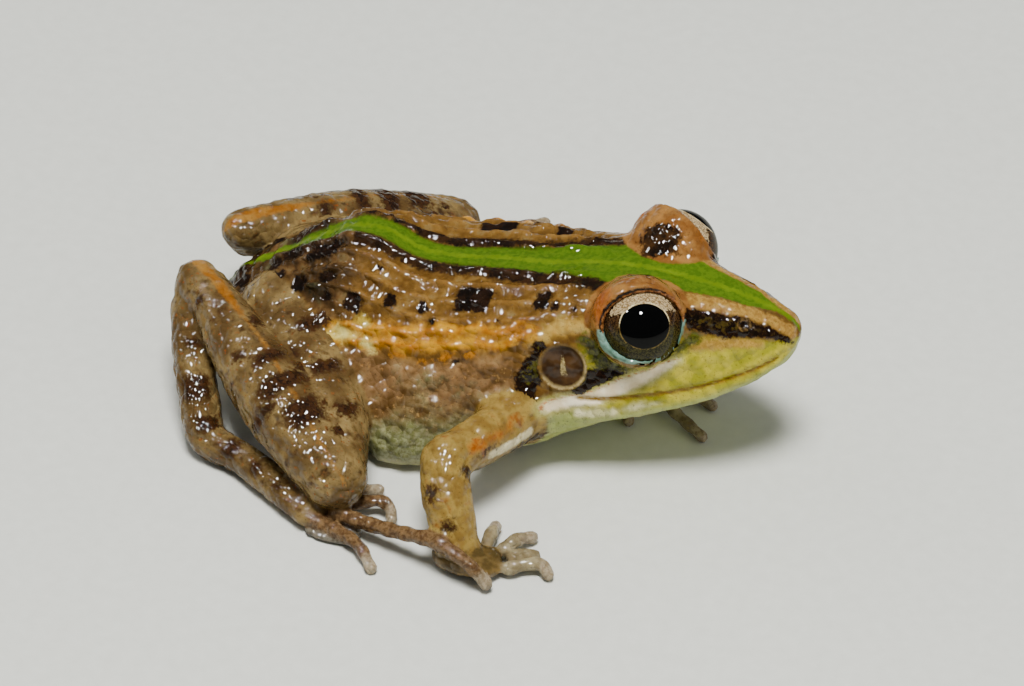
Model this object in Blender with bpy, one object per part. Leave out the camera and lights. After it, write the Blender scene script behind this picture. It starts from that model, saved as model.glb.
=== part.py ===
"""Mascarene ridged frog, life size, sitting still with its hind legs folded.

+X points forward past the snout, +Y to the frog's left, +Z up, and the floor is z = 0.
The body is one loft through five rails, parted behind the tympana. Limbs are round-ended
tubes. Where two parts would share room, one of them is cut back so that a thin gap is left.
Sizes in the tables are millimetres, with the snout tip at x = 0; the finished parts are
moved so that the middle of their bounding box stands over the origin.
"""
import math

import bmesh
import bpy
import numpy as np
from mathutils import Matrix, Vector

MM = 0.001
GAP = 0.28
BOX_CENTRE = (-23.433, -0.753)
WELD = 0.01

SNOUT_TIP = (-0.45, 11.25)
VENT_TIP = (-43.9, 5.4)
NECK_X = -19.0

# One row per station: x, back z, canthus y and z, side y and z, jaw y and z, belly z.
STATIONS = np.array([
    (-0.65, 11.9, 0.65, 11.7, 1.05, 10.85, 0.70, 10.3, 10.15),
    (-1.2, 12.3, 1.15, 12.1, 1.85, 10.45, 1.40, 9.6, 9.4),
    (-2.2, 12.8, 1.60, 12.4, 2.75, 9.95, 2.15, 8.9, 8.6),
    (-3.7, 13.3, 2.05, 12.85, 3.75, 9.30, 3.00, 8.1, 7.6),
    (-6.5, 13.9, 2.80, 13.40, 5.00, 8.30, 4.20, 7.0, 6.3),
    (-9.7, 14.4, 3.70, 13.80, 6.00, 7.50, 5.20, 5.9, 5.0),
    (-12.8, 14.5, 4.40, 13.60, 6.80, 6.90, 5.90, 4.9, 3.7),
    (-16.0, 14.1, 5.00, 13.00, 7.40, 6.80, 6.50, 3.3, 2.0),
    (-19.0, 13.3, 5.40, 12.10, 7.80, 6.40, 6.90, 1.6, 0.6),
    (-23.0, 12.8, 5.80, 11.30, 9.00, 5.60, 8.40, 0.8, 0.0),
    (-27.0, 12.1, 5.80, 10.60, 10.20, 4.30, 9.90, 0.3, -0.5),
    (-29.0, 12.3, 5.50, 10.60, 10.00, 4.30, 9.60, 0.3, -0.6),
    (-31.2, 13.3, 4.90, 10.80, 9.30, 4.80, 8.40, 0.4, -0.5),
    (-33.5, 13.3, 4.30, 10.80, 8.20, 5.20, 7.00, 0.6, -0.3),
    (-37.0, 11.3, 3.60, 9.30, 6.50, 5.40, 5.30, 1.2, 0.3),
    (-40.5, 8.7, 2.90, 7.70, 4.60, 5.00, 3.80, 2.5, 1.8),
    (-42.8, 7.0, 1.80, 6.40, 2.80, 5.20, 2.20, 3.9, 3.5),
])

# Rails are numbered down one side: 0 back, 1 canthus, 2 side, 3 jaw, 4 belly.
RIDGE_RAILS = (0.28, 0.52, 0.76, 1.00, 1.24)
RIDGE_FRONT = (-14.5, -15.5, -16.5, -17.5, -17.5)
RIDGE_REAR = (-41.0, -40.0, -38.5, -37.5, -37.5)
RIDGE_HEIGHT = 0.5
RIDGE_WIDTH = 0.08
RIDGE_FADE = 1.6
MOUTH_RAIL = 1.90
MOUTH_DEPTH = 0.32
MOUTH_WIDTH = 0.07
LIP_HEIGHT = 0.14
LIP_OFFSET = 0.13
MOUTH_FRONT = -1.0
MOUTH_REAR = -15.8
RAIL_COLUMNS = (0.0, 0.14, 0.28, 0.40, 0.52, 0.64, 0.76, 0.88, 1.00, 1.12, 1.24, 1.40,
                1.58, 1.77, 1.90, 2.03, 2.4, 2.9, 3.45)
HEAD_RINGS = 26
TORSO_RINGS = 30

EYE_CENTRE = (-10.95, 4.5, 12.95)
EYE_RADIUS = 2.95
EYE_AXIS = (0.40, 0.72, 0.57)
LID_RADIUS = 3.6
LID_OPENING = (2.6, 3.5, 3.0)
LID_OPENING_OUT = 2.7
NOSTRIL = (-4.1, 2.1, 13.0)
NOSTRIL_SIZE = (0.45, 0.30, 0.42)
TYMPANUM = (-16.0, 6.4, 9.52)
TYMPANUM_AXIS = (0.12, 0.94, 0.30)
TYMPANUM_RADIUS = 1.65
TYMPANUM_THICK = 0.9

# Each limb part: points along its middle and, at each, half its width and half its height.
HIND_LEG = {
    "thigh": (((-38.8, -3.0, 6.4), (-36.4, -5.6, 5.9), (-33.4, -9.3, 4.9),
               (-31.0, -12.9, 4.1), (-30.0, -15.2, 3.7)),
              ((2.6, 2.8), (3.0, 3.0), (2.9, 2.9), (2.5, 2.5), (2.1, 2.2))),
    "shank": (((-29.9, -16.3, 3.55), (-33.2, -13.6, 4.7), (-36.8, -10.6, 5.7),
               (-40.3, -7.7, 6.8), (-43.2, -5.0, 7.7), (-44.7, -3.8, 7.9)),
              ((2.4, 2.4), (2.95, 2.75), (2.95, 2.75), (2.35, 2.3), (1.85, 1.85), (1.75, 1.75))),
    "tarsus": (((-44.8, -4.8, 6.5), (-43.9, -7.4, 5.0), (-42.7, -9.8, 3.6),
                (-41.7, -11.6, 2.5), (-41.1, -12.7, 1.8)),
               ((1.6, 1.7), (1.5, 1.6), (1.5, 1.5), (1.45, 1.45), (1.4, 1.4))),
    "foot": (((-40.4, -13.1, 1.35), (-37.9, -13.9, 1.25), (-34.9, -15.6, 1.2),
              (-32.2, -17.0, 1.1), (-31.0, -17.5, 1.0)),
             ((1.3, 1.3), (1.2, 1.2), (1.25, 1.15), (1.5, 1.0), (1.65, 0.85))),
}
TOES = {
    "toe_1": (((-33.6, -15.0, 0.8), (-31.8, -13.8, 0.8), (-30.2, -12.9, 0.5)), 0.48),
    "toe_2": (((-31.2, -15.8, 0.85), (-29.2, -14.3, 0.9), (-27.6, -13.4, 0.5)), 0.48),
    "toe_3": (((-29.6, -16.6, 1.0), (-28.0, -15.8, 1.2), (-26.6, -15.3, 1.2),
               (-25.9, -15.7, 1.0), (-25.7, -16.2, 0.45)), 0.48),
    "toe_4": (((-29.4, -17.5, 1.2), (-26.6, -18.3, 1.55), (-24.2, -19.0, 2.05),
               (-22.0, -19.7, 2.6), (-20.2, -20.4, 2.8), (-18.8, -20.8, 2.4),
               (-17.6, -20.9, 1.4), (-17.1, -20.9, 0.75)), 0.54),
    "toe_5": (((-30.5, -18.5, 0.95), (-28.5, -19.1, 0.95), (-26.7, -20.1, 0.85),
               (-25.4, -21.5, 0.45)), 0.50),
}
WEB = {
    "web": (((-30.7, -17.9, 0.42), (-29.2, -18.3, 0.42), (-27.6, -18.7, 0.42)),
            ((1.5, 0.28), (1.5, 0.28), (1.0, 0.28))),
}
LEFT_THIGH_SHANK = {
    "thigh": (((-38.8, 2.8, 6.4), (-36.8, 5.2, 5.7), (-34.3, 8.7, 4.4),
               (-32.3, 11.9, 3.3), (-31.6, 13.7, 2.8)),
              ((2.6, 2.8), (2.9, 2.9), (2.8, 2.8), (2.4, 2.5), (2.1, 2.2))),
    "shank": (((-31.5, 14.6, 2.7), (-34.4, 12.0, 4.1), (-37.4, 9.2, 5.6),
               (-40.3, 6.4, 6.9), (-42.7, 4.1, 7.8), (-43.8, 3.0, 8.0)),
              ((2.3, 2.3), (2.7, 2.5), (2.7, 2.5), (2.1, 2.1), (1.6, 1.65), (1.5, 1.5))),
}
LEFT_TOE_4 = (((-29.4, -17.5, 1.2), (-27.2, -18.0, 1.35), (-24.6, -18.4, 1.4),
               (-21.8, -19.2, 1.1), (-19.4, -20.4, 0.5)), 0.54)
LEFT_FOOT_SCALE = 0.93
LEFT_FOOT_BACK = -2.2
RIGHT_ARM = {
    "upper_arm": (((-18.6, -5.6, 5.0), (-19.6, -9.3, 5.3), (-21.1, -12.8, 5.7),
                   (-21.9, -14.2, 5.8)),
                  ((2.2, 2.3), (1.9, 2.0), (1.7, 1.8), (1.65, 1.7))),
    "forearm": (((-22.2, -15.0, 5.7), (-21.6, -16.2, 4.6), (-20.6, -17.7, 2.8),
                 (-19.9, -18.5, 1.8)),
                ((1.65, 1.7), (1.8, 1.75), (1.7, 1.6), (1.5, 1.3))),
    "hand": (((-20.4, -19.0, 1.2), (-19.0, -19.2, 1.0), (-17.4, -18.7, 0.8)),
             ((1.4, 1.15), (1.5, 0.9), (1.4, 0.75))),
}
RIGHT_FINGERS = {
    "finger_1": (((-18.3, -16.9, 0.8), (-18.3, -15.8, 1.0), (-18.4, -14.7, 0.55)), 0.50),
    "finger_2": (((-17.0, -17.1, 0.8), (-16.3, -16.0, 1.0), (-15.6, -15.0, 0.55)), 0.52),
    "finger_3": (((-16.1, -17.7, 0.8), (-15.4, -17.3, 0.95), (-14.8, -16.8, 0.55)), 0.48),
    "finger_4": (((-16.1, -18.9, 0.75), (-15.1, -18.3, 0.85), (-13.8, -17.9, 0.85),
                  (-13.3, -18.4, 0.5)), 0.48),
}
LEFT_ARM = {
    "upper_arm": (((-18.6, 5.6, 4.6), (-19.0, 8.2, 4.6), (-19.4, 10.6, 4.6),
                   (-19.6, 11.8, 4.5)),
                  ((2.2, 2.3), (1.9, 2.0), (1.75, 1.8), (1.65, 1.65))),
    "forearm": (((-19.4, 12.4, 4.3), (-18.0, 11.5, 3.6), (-16.3, 9.9, 2.5),
                 (-15.2, 8.8, 1.8)),
                ((1.65, 1.65), (1.8, 1.7), (1.7, 1.55), (1.4, 1.25))),
    "hand": (((-14.7, 8.0, 1.2), (-13.9, 6.7, 1.0), (-13.2, 5.6, 0.9)),
             ((1.6, 1.1), (1.75, 0.95), (1.6, 0.8))),
}
LEFT_FINGERS = {
    "finger_1": (((-14.3, 4.6, 0.8), (-13.8, 2.0, 1.0), (-12.9, -0.5, 0.5)), 0.48),
    "finger_2": (((-12.8, 4.3, 0.8), (-10.6, 1.6, 1.0), (-7.3, -0.6, 0.5)), 0.48),
    "finger_3": (((-11.7, 5.1, 0.8), (-9.7, 3.7, 0.9), (-7.6, 3.0, 0.5)), 0.48),
    "finger_4": (((-11.7, 6.5, 0.8), (-10.1, 6.4, 0.9), (-8.8, 7.0, 0.5)), 0.48),
}
LIMB_RINGS = 8
LIMB_SIDES = 12
DIGIT_RINGS = 6
DIGIT_SIDES = 8
CAP_RINGS = 3

COLOURS = {
    "skin_back": (0.42, 0.29, 0.16),
    "skin_limb": (0.46, 0.32, 0.18),
    "skin_digit": (0.40, 0.30, 0.22),
    "eye_dark": (0.02, 0.015, 0.01),
    "tympanum": (0.25, 0.18, 0.12),
    "web": (0.38, 0.36, 0.33),
}


def smooth(knots, values, where):
    """Cubic through the knots: each knot's slope is that of the parabola through its neighbours."""
    slopes = np.gradient(values, knots, axis=0)
    cell = np.clip(np.searchsorted(knots, where) - 1, 0, len(knots) - 2)
    width = knots[cell + 1] - knots[cell]
    t = (where - knots[cell]) / width
    shape = (-1,) + (1,) * (values.ndim - 1)
    t, width = t.reshape(shape), width.reshape(shape)
    start, end = values[cell], values[cell + 1]
    lean_out, lean_in = slopes[cell] * width, slopes[cell + 1] * width
    return (start * (1 + 2 * t) * (1 - t) ** 2 + end * t ** 2 * (3 - 2 * t)
            + lean_out * t * (1 - t) ** 2 - lean_in * t ** 2 * (1 - t))


def smoothstep(low, high, value):
    """0 below low, 1 above high, and an S-curve between."""
    t = np.clip((value - low) / (high - low), 0, 1)
    return t * t * (3 - 2 * t)


def rail_rows(depths):
    """The five rails (one side) at each depth, where depth is the root of the distance from the snout."""
    ends = []
    for x, z in (SNOUT_TIP, VENT_TIP):
        ends.append([x, z, 0.0, z, 0.0, z, 0.0, z, z])
    table = np.vstack([ends[0], STATIONS, ends[1]])
    knots = np.sqrt(SNOUT_TIP[0] - table[:, 0])
    rows = smooth(knots, table, depths)
    x = SNOUT_TIP[0] - depths ** 2
    flat = np.zeros_like(x)
    return np.stack([
        np.stack([x, flat, rows[:, 1]], 1),
        np.stack([x, rows[:, 2], rows[:, 3]], 1),
        np.stack([x, rows[:, 4], rows[:, 5]], 1),
        np.stack([x, rows[:, 6], rows[:, 7]], 1),
        np.stack([x, flat, rows[:, 8]], 1),
    ])


def body_surface(depths, columns):
    """Points of the body, rings along x and columns round: a closed cubic through the eight rails."""
    rails = rail_rows(depths)
    mirror = rails[3:0:-1] * np.array([1, -1, 1])
    loop = np.concatenate([rails, mirror, rails[:2]])
    loop = np.concatenate([mirror[-2:], loop])
    knots = np.arange(-2, len(loop) - 2, dtype=float)
    return smooth(knots, loop, columns).transpose(1, 0, 2)


def relief(x, column):
    """How far the skin stands out: ridges and lips raised, the line of the mouth sunk."""
    side = np.minimum(column, 8 - column)
    height = np.zeros(np.broadcast(x, side).shape)
    for rail, front, rear in zip(RIDGE_RAILS, RIDGE_FRONT, RIDGE_REAR):
        along = smoothstep(front, front - RIDGE_FADE, x) * smoothstep(rear, rear + RIDGE_FADE, x)
        height += RIDGE_HEIGHT * along * np.exp(-((side - rail) / RIDGE_WIDTH) ** 2)
    along = smoothstep(MOUTH_FRONT, MOUTH_FRONT - 1, x) * smoothstep(MOUTH_REAR, MOUTH_REAR + 2, x)
    height -= MOUTH_DEPTH * along * np.exp(-((side - MOUTH_RAIL) / MOUTH_WIDTH) ** 2)
    for lip in (MOUTH_RAIL - LIP_OFFSET, MOUTH_RAIL + LIP_OFFSET):
        height += LIP_HEIGHT * along * np.exp(-((side - lip) / MOUTH_WIDTH) ** 2)
    return height


def ring_columns():
    """Column numbers once round the body, from the back down one side and up the other."""
    half = np.array(RAIL_COLUMNS)
    return np.concatenate([half, [4.0], 8 - half[:0:-1]])


def body_points(depths, grow=0.0):
    """The body's grid with its relief, each point moved along the surface's normal."""
    columns = ring_columns()
    grid = body_surface(depths, columns)
    along = np.gradient(grid, axis=0)
    round_it = np.roll(grid, -1, axis=1) - np.roll(grid, 1, axis=1)
    normal = np.cross(round_it, along)
    normal /= np.maximum(np.linalg.norm(normal, axis=2, keepdims=True), 1e-9)
    outward = grid - grid.mean(axis=1, keepdims=True)
    normal *= np.where((normal * outward).sum(2, keepdims=True) < 0, -1, 1)
    height = relief(grid[:, :, 0], columns[None, :]) + grow
    return grid + normal * height[:, :, None]


def grid_mesh(rows, first, last):
    """Vertices and faces of a closed skin: rings of points with a point at each end."""
    rings, sides = rows.shape[:2]
    vertices = np.vstack([rows.reshape(-1, 3), first, last])
    faces = []
    for ring in range(rings - 1):
        for side in range(sides):
            after = (side + 1) % sides
            a, b = ring * sides + side, ring * sides + after
            faces.append((a, b, b + sides, a + sides))
    start, end = rings * sides, rings * sides + 1
    for side in range(sides):
        after = (side + 1) % sides
        faces.append((start, after, side))
        faces.append((end, (rings - 1) * sides + side, (rings - 1) * sides + after))
    return vertices, faces


def new_object(name, vertices, faces, group, floor=None):
    """A mesh object in metres; a floor height flattens whatever would hang below it."""
    points = np.array(vertices, float)
    if floor is not None:
        points[:, 2] = np.maximum(points[:, 2], floor)
    points[:, :2] -= BOX_CENTRE
    mesh = bpy.data.meshes.new(name)
    mesh.from_pydata((points * MM).tolist(), [], faces)
    made = bmesh.new()
    made.from_mesh(mesh)
    bmesh.ops.remove_doubles(made, verts=made.verts, dist=WELD * MM)
    bmesh.ops.triangulate(made, faces=made.faces)
    bmesh.ops.recalc_face_normals(made, faces=made.faces)
    made.to_mesh(mesh)
    made.free()
    thing = bpy.data.objects.new(name, mesh)
    group.objects.link(thing)
    return thing


def body_object(name, front, rear, rings, group, grow=0.0, floor=None):
    """The body between two x values: the snout and vent ends run to a point, a cut end is flat."""
    depths = np.linspace(math.sqrt(SNOUT_TIP[0] - front), math.sqrt(SNOUT_TIP[0] - rear), rings)
    if front >= SNOUT_TIP[0]:
        depths = depths[1:]
    if rear <= VENT_TIP[0]:
        depths = depths[:-1]
    rows = body_points(depths, grow)
    first, last = rows[0].mean(axis=0), rows[-1].mean(axis=0)
    if front >= SNOUT_TIP[0]:
        first = (SNOUT_TIP[0] + grow, 0, SNOUT_TIP[1])
    if rear <= VENT_TIP[0]:
        last = (VENT_TIP[0] - grow, 0, VENT_TIP[1])
    return new_object(name, *grid_mesh(rows, first, last), group, floor)


def tube_rows(points, sizes, rings, sides, grow=0.0):
    """Rings of an elliptical tube along a smooth path, with round ends."""
    points, sizes = np.array(points, float), np.array(sizes, float) + grow
    steps = np.linalg.norm(np.diff(points, axis=0), axis=1)
    knots = np.concatenate([[0], np.cumsum(steps)])
    where = np.linspace(0, knots[-1], rings)
    path, size = smooth(knots, points, where), smooth(knots, sizes, where)
    tangent = np.gradient(path, axis=0)
    tangent /= np.linalg.norm(tangent, axis=1, keepdims=True)
    bulge = np.linspace(0, math.pi / 2, CAP_RINGS + 1)[1:-1]
    path_in, size_in, tangent_in = [], [], []
    for end, sign in ((0, -1), (-1, 1)):
        reach = size[end].min()
        ahead = path[end] + sign * tangent[end] * reach * np.sin(bulge)[:, None]
        narrow = size[end] * np.cos(bulge)[:, None]
        order = slice(None, None, -1) if sign < 0 else slice(None)
        path_in.append(ahead[order])
        size_in.append(narrow[order])
        tangent_in.append(np.repeat(tangent[end][None], len(bulge), 0))
    first = path[0] - tangent[0] * size[0].min()
    last = path[-1] + tangent[-1] * size[-1].min()
    path = np.vstack([path_in[0], path, path_in[1]])
    size = np.vstack([size_in[0], size, size_in[1]])
    tangent = np.vstack([tangent_in[0], tangent, tangent_in[1]])
    across = np.cross(tangent, (0, 0, 1))
    across /= np.linalg.norm(across, axis=1, keepdims=True)
    upward = np.cross(across, tangent)
    turn = np.linspace(0, 2 * math.pi, sides, endpoint=False)
    rows = (path[:, None] + across[:, None] * (size[:, :1] * np.cos(turn))[:, :, None]
            + upward[:, None] * (size[:, 1:] * np.sin(turn))[:, :, None])
    return rows, first, last


def tube(name, points, sizes, group, grow=0.0, floor=None, rings=LIMB_RINGS, sides=LIMB_SIDES):
    """A limb part as an object."""
    rows, first, last = tube_rows(points, sizes, rings, sides, grow)
    return new_object(name, *grid_mesh(rows, first, last), group, floor)


def ellipsoid(name, centre, radii, group, axis=(0, 1, 0), segments=20):
    """A ball stretched along an axis (its first radius) and across it (the other two)."""
    along = Vector(axis).normalized()
    across = along.cross(Vector((0, 0, 1))).normalized()
    up = across.cross(along)
    turn = Matrix((along, across, up)).transposed()
    made = bmesh.new()
    bmesh.ops.create_uvsphere(made, u_segments=segments, v_segments=segments // 2, radius=1)
    for vertex in made.verts:
        pole_first = Vector((vertex.co.z * radii[0], vertex.co.x * radii[1], vertex.co.y * radii[2]))
        vertex.co = (turn @ pole_first + Vector(centre)) - Vector((*BOX_CENTRE, 0))
        vertex.co *= MM
    bmesh.ops.triangulate(made, faces=made.faces)
    bmesh.ops.recalc_face_normals(made, faces=made.faces)
    mesh = bpy.data.meshes.new(name)
    made.to_mesh(mesh)
    made.free()
    thing = bpy.data.objects.new(name, mesh)
    group.objects.link(thing)
    return thing


def drum(name, centre, axis, radius, thick, group, grow=0.0):
    """A round plate with softened rims, its face along the axis."""
    steps = ((-0.5, 0.0), (-0.5, 0.86), (-0.34, 1.0), (0.26, 1.0), (0.42, 0.88), (0.5, 0.5))
    along = np.array(axis) / np.linalg.norm(axis)
    across = np.cross(along, (0, 0, 1))
    across /= np.linalg.norm(across)
    up = np.cross(across, along)
    turn = np.linspace(0, 2 * math.pi, 24, endpoint=False)
    ring = np.cos(turn)[:, None] * across + np.sin(turn)[:, None] * up
    rows = []
    for height, reach in steps[1:]:
        rows.append(np.array(centre) + along * (height * (thick + 2 * grow))
                    + ring * (reach * (radius + grow)))
    ends = [np.array(centre) + along * (side * (thick / 2 + grow)) for side in (-1, 1)]
    return new_object(name, *grid_mesh(np.array(rows), *ends), group)


def join(target, others, operation, group):
    """Apply a Boolean with all the others at once, then delete them."""
    tools = bpy.data.collections.new("joined")
    bpy.context.scene.collection.children.link(tools)
    for other in others:
        tools.objects.link(other)
    change = target.modifiers.new("join", "BOOLEAN")
    change.operation = operation
    change.solver = "EXACT"
    change.operand_type = "COLLECTION"
    change.collection = tools
    view = bpy.context.evaluated_depsgraph_get()
    mesh = bpy.data.meshes.new_from_object(target.evaluated_get(view))
    target.modifiers.clear()
    old, target.data = target.data, mesh
    bpy.data.meshes.remove(old)
    for other in others:
        bpy.data.objects.remove(other, do_unlink=True)
    bpy.data.collections.remove(tools)
    keep_largest(target)


def keep_largest(thing):
    """Weld, then keep only the closed surface with the most room in it."""
    made = bmesh.new()
    made.from_mesh(thing.data)
    bmesh.ops.remove_doubles(made, verts=made.verts, dist=WELD * MM)
    bmesh.ops.dissolve_degenerate(made, edges=made.edges, dist=WELD * MM)
    bmesh.ops.triangulate(made, faces=made.faces)
    left, islands = set(made.verts), []
    while left:
        reached, queue = set(), [left.pop()]
        while queue:
            vertex = queue.pop()
            reached.add(vertex)
            for edge in vertex.link_edges:
                other = edge.other_vert(vertex)
                if other in left:
                    left.discard(other)
                    queue.append(other)
        faces = {face for vertex in reached for face in vertex.link_faces}
        room = 0.0
        for face in faces:
            a, b, c = (vertex.co for vertex in face.verts)
            room += a.dot(b.cross(c)) / 6
        islands.append((abs(room), reached))
    islands.sort(key=lambda entry: -entry[0])
    for _, spare in islands[1:]:
        bmesh.ops.delete(made, geom=list(spare), context="VERTS")
    made.to_mesh(thing.data)
    made.free()


def mirrored(point, side):
    """A point given for the left, on the side asked for."""
    return (point[0], point[1] * side, point[2])


def hind_leg(side):
    """One side's thigh to toes; the left leg is folded tighter and its foot lies farther back."""
    if side < 0:
        return {**HIND_LEG, **WEB}, TOES

    def over(points):
        return tuple((x * LEFT_FOOT_SCALE + LEFT_FOOT_BACK, -y * LEFT_FOOT_SCALE, z)
                     for x, y, z in points)

    parts = {name: (over(points), sizes) for name, (points, sizes) in {**HIND_LEG, **WEB}.items()}
    toes = {**TOES, "toe_4": LEFT_TOE_4}
    toes = {name: (over(points), radius) for name, (points, radius) in toes.items()}
    return {**parts, **LEFT_THIGH_SHANK}, toes


def digit(points, radius):
    """Sizes for a finger or toe that thins toward a slightly swollen tip."""
    count = len(points)
    sizes = [radius * (1.08 - 0.22 * step / (count - 1)) for step in range(count)]
    return tuple((size, size) for size in sizes)


def limb_table(side):
    """Every limb part of one side: its points, its sizes, and whether it is a digit."""
    leg, toes = hind_leg(side)
    arm, fingers = (RIGHT_ARM, RIGHT_FINGERS) if side < 0 else (LEFT_ARM, LEFT_FINGERS)
    table = {}
    for name, (points, sizes) in {**leg, **arm}.items():
        table[name] = (points, sizes, False)
    for name, (points, radius) in {**toes, **fingers}.items():
        table[name] = (points, digit(points, radius), True)
    return table


# Each part gives way to the parts listed for it.
GIVES_WAY = {
    "thigh": ("torso", "shank"),
    "shank": ("torso",),
    "tarsus": ("shank", "torso"),
    "foot": ("shank", "tarsus", "thigh"),
    "toe_1": ("foot", "shank", "thigh"),
    "toe_2": ("foot", "shank", "thigh", "toe_1"),
    "toe_3": ("foot", "shank", "thigh", "toe_2"),
    "toe_4": ("foot", "shank", "toe_3"),
    "toe_5": ("foot", "toe_4"),
    "web": ("foot", "toe_3", "toe_4", "toe_5"),
    "forearm": ("toe_4",),
    "upper_arm": ("torso", "head", "forearm"),
    "hand": ("forearm", "toe_4"),
    "finger_1": ("hand",),
    "finger_2": ("hand", "finger_1"),
    "finger_3": ("hand", "finger_2"),
    "finger_4": ("hand", "finger_3"),
}


def make_limbs(side, parts, cutters):
    """All limb parts of one side, each cut back from the parts it gives way to."""
    word = "right" if side < 0 else "left"
    table = limb_table(side)
    made = {}
    for name, (points, sizes, slim) in table.items():
        rings = DIGIT_RINGS if slim else LIMB_RINGS
        sides = DIGIT_SIDES if slim else LIMB_SIDES
        thing = tube(f"{name}_{word}", points, sizes, parts, 0.0, 0.0, rings, sides)
        tools = []
        for other in GIVES_WAY[name]:
            if other == "torso":
                tool = body_object("cut", NECK_X - GAP, VENT_TIP[0], TORSO_RINGS, cutters, GAP)
            elif other == "head":
                tool = body_object("cut", SNOUT_TIP[0], NECK_X - GAP, HEAD_RINGS, cutters, GAP)
            else:
                line, width, thin = table[other]
                tool = tube("cut", line, width, cutters, GAP, None,
                            DIGIT_RINGS if thin else LIMB_RINGS, DIGIT_SIDES if thin else LIMB_SIDES)
            tools.append(tool)
        if tools:
            join(thing, tools, "DIFFERENCE", cutters)
        made[thing.name] = thing
    return made


def make_head(parts, cutters):
    """The head with its lids raised, and the eyes, nostrils and tympana let into it."""
    head = body_object("head", SNOUT_TIP[0], NECK_X, HEAD_RINGS, parts)
    join(head, [ellipsoid("lid", mirrored(EYE_CENTRE, side), (LID_RADIUS,) * 3, cutters)
                for side in (-1, 1)], "UNION", cutters)
    tools = []
    for side in (-1, 1):
        centre, axis = Vector(mirrored(EYE_CENTRE, side)), Vector(mirrored(EYE_AXIS, side))
        axis.normalize()
        tools.append(ellipsoid("opening", centre + axis * LID_OPENING_OUT, LID_OPENING, cutters, axis))
        tools.append(ellipsoid("socket", centre, (EYE_RADIUS + GAP,) * 3, cutters, segments=24))
        tools.append(ellipsoid("nostril", mirrored(NOSTRIL, side), NOSTRIL_SIZE, cutters, segments=12))
        tools.append(drum("pocket", mirrored(TYMPANUM, side), mirrored(TYMPANUM_AXIS, side),
                          TYMPANUM_RADIUS, TYMPANUM_THICK, cutters, GAP))
    for tool in tools:
        join(head, [tool], "DIFFERENCE", cutters)
    return head


def surface_finish(name):
    """Which finish a part wears, from its name."""
    for word in ("eye", "tympanum", "web"):
        if name.startswith(word):
            return {"eye": "eye_dark"}.get(word, word)
    if name.startswith(("toe", "finger")):
        return "skin_digit"
    if name in ("head", "torso"):
        return "skin_back"
    return "skin_limb"


def paint(thing):
    """Give a part its own material and smooth shading."""
    finish = surface_finish(thing.name)
    material = bpy.data.materials.new(f"{finish}_{thing.name}")
    material.use_nodes = True
    shader = material.node_tree.nodes["Principled BSDF"]
    shader.inputs["Base Color"].default_value = (*COLOURS[finish], 1.0)
    shader.inputs["Roughness"].default_value = 0.35
    thing.data.materials.clear()
    thing.data.materials.append(material)
    for face in thing.data.polygons:
        face.use_smooth = True


def main():
    for thing in list(bpy.data.objects):
        bpy.data.objects.remove(thing, do_unlink=True)
    parts = bpy.data.collections.new("mascarene_ridged_frog")
    cutters = bpy.data.collections.new("cutters")
    for group in (parts, cutters):
        bpy.context.scene.collection.children.link(group)
    cutters.hide_render = True
    make_head(parts, cutters)
    body_object("torso", NECK_X - GAP, VENT_TIP[0], TORSO_RINGS, parts, 0.0, 0.0)
    for side, word in ((-1, "right"), (1, "left")):
        ellipsoid(f"eye_{word}", mirrored(EYE_CENTRE, side), (EYE_RADIUS,) * 3, parts,
                  mirrored(EYE_AXIS, side))
        drum(f"tympanum_{word}", mirrored(TYMPANUM, side), mirrored(TYMPANUM_AXIS, side),
             TYMPANUM_RADIUS, TYMPANUM_THICK, parts)
        make_limbs(side, parts, cutters)
    bpy.data.collections.remove(cutters)
    total, low, high = 0, [1e9] * 3, [-1e9] * 3
    for thing in parts.objects:
        paint(thing)
        count = len(thing.data.polygons)
        total += count
        corners = np.array([vertex.co[:] for vertex in thing.data.vertices]) / MM
        low, high = np.minimum(low, corners.min(0)), np.maximum(high, corners.max(0))
        print(f"{thing.name:20s} {count:6d} triangles")
    print("parts", len(parts.objects), "triangles", total)
    print("box middle", np.round((low + high) / 2, 3), "size", np.round(high - low, 3),
          "floor", round(float(low[2]), 4))


main()
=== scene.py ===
# %% [markdown]
# # A ridged frog, sitting still
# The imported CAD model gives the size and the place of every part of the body. Here the parts get
# one unbroken wet skin with its ridges, folds and markings, and a pair of detailed eyes.
# Lengths in the tables are millimetres from the tip of the snout, with +X pointing forwards, because
# a frog this small is easiest to think of that way; they become metres in one place only.

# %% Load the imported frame
import math

import bpy
import numpy as np
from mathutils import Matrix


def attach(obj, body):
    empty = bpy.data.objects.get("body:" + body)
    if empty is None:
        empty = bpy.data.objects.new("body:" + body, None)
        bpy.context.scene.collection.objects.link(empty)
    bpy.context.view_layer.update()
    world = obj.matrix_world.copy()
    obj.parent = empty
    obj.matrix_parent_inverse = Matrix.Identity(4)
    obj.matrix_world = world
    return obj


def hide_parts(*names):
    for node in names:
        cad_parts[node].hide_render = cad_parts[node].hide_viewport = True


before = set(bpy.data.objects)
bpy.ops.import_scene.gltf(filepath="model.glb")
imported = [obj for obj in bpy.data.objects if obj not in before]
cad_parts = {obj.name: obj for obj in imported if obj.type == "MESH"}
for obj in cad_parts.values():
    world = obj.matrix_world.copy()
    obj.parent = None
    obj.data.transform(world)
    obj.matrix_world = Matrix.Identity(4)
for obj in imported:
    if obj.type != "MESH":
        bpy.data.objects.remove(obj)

import openvdb
from mathutils import Vector

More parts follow.
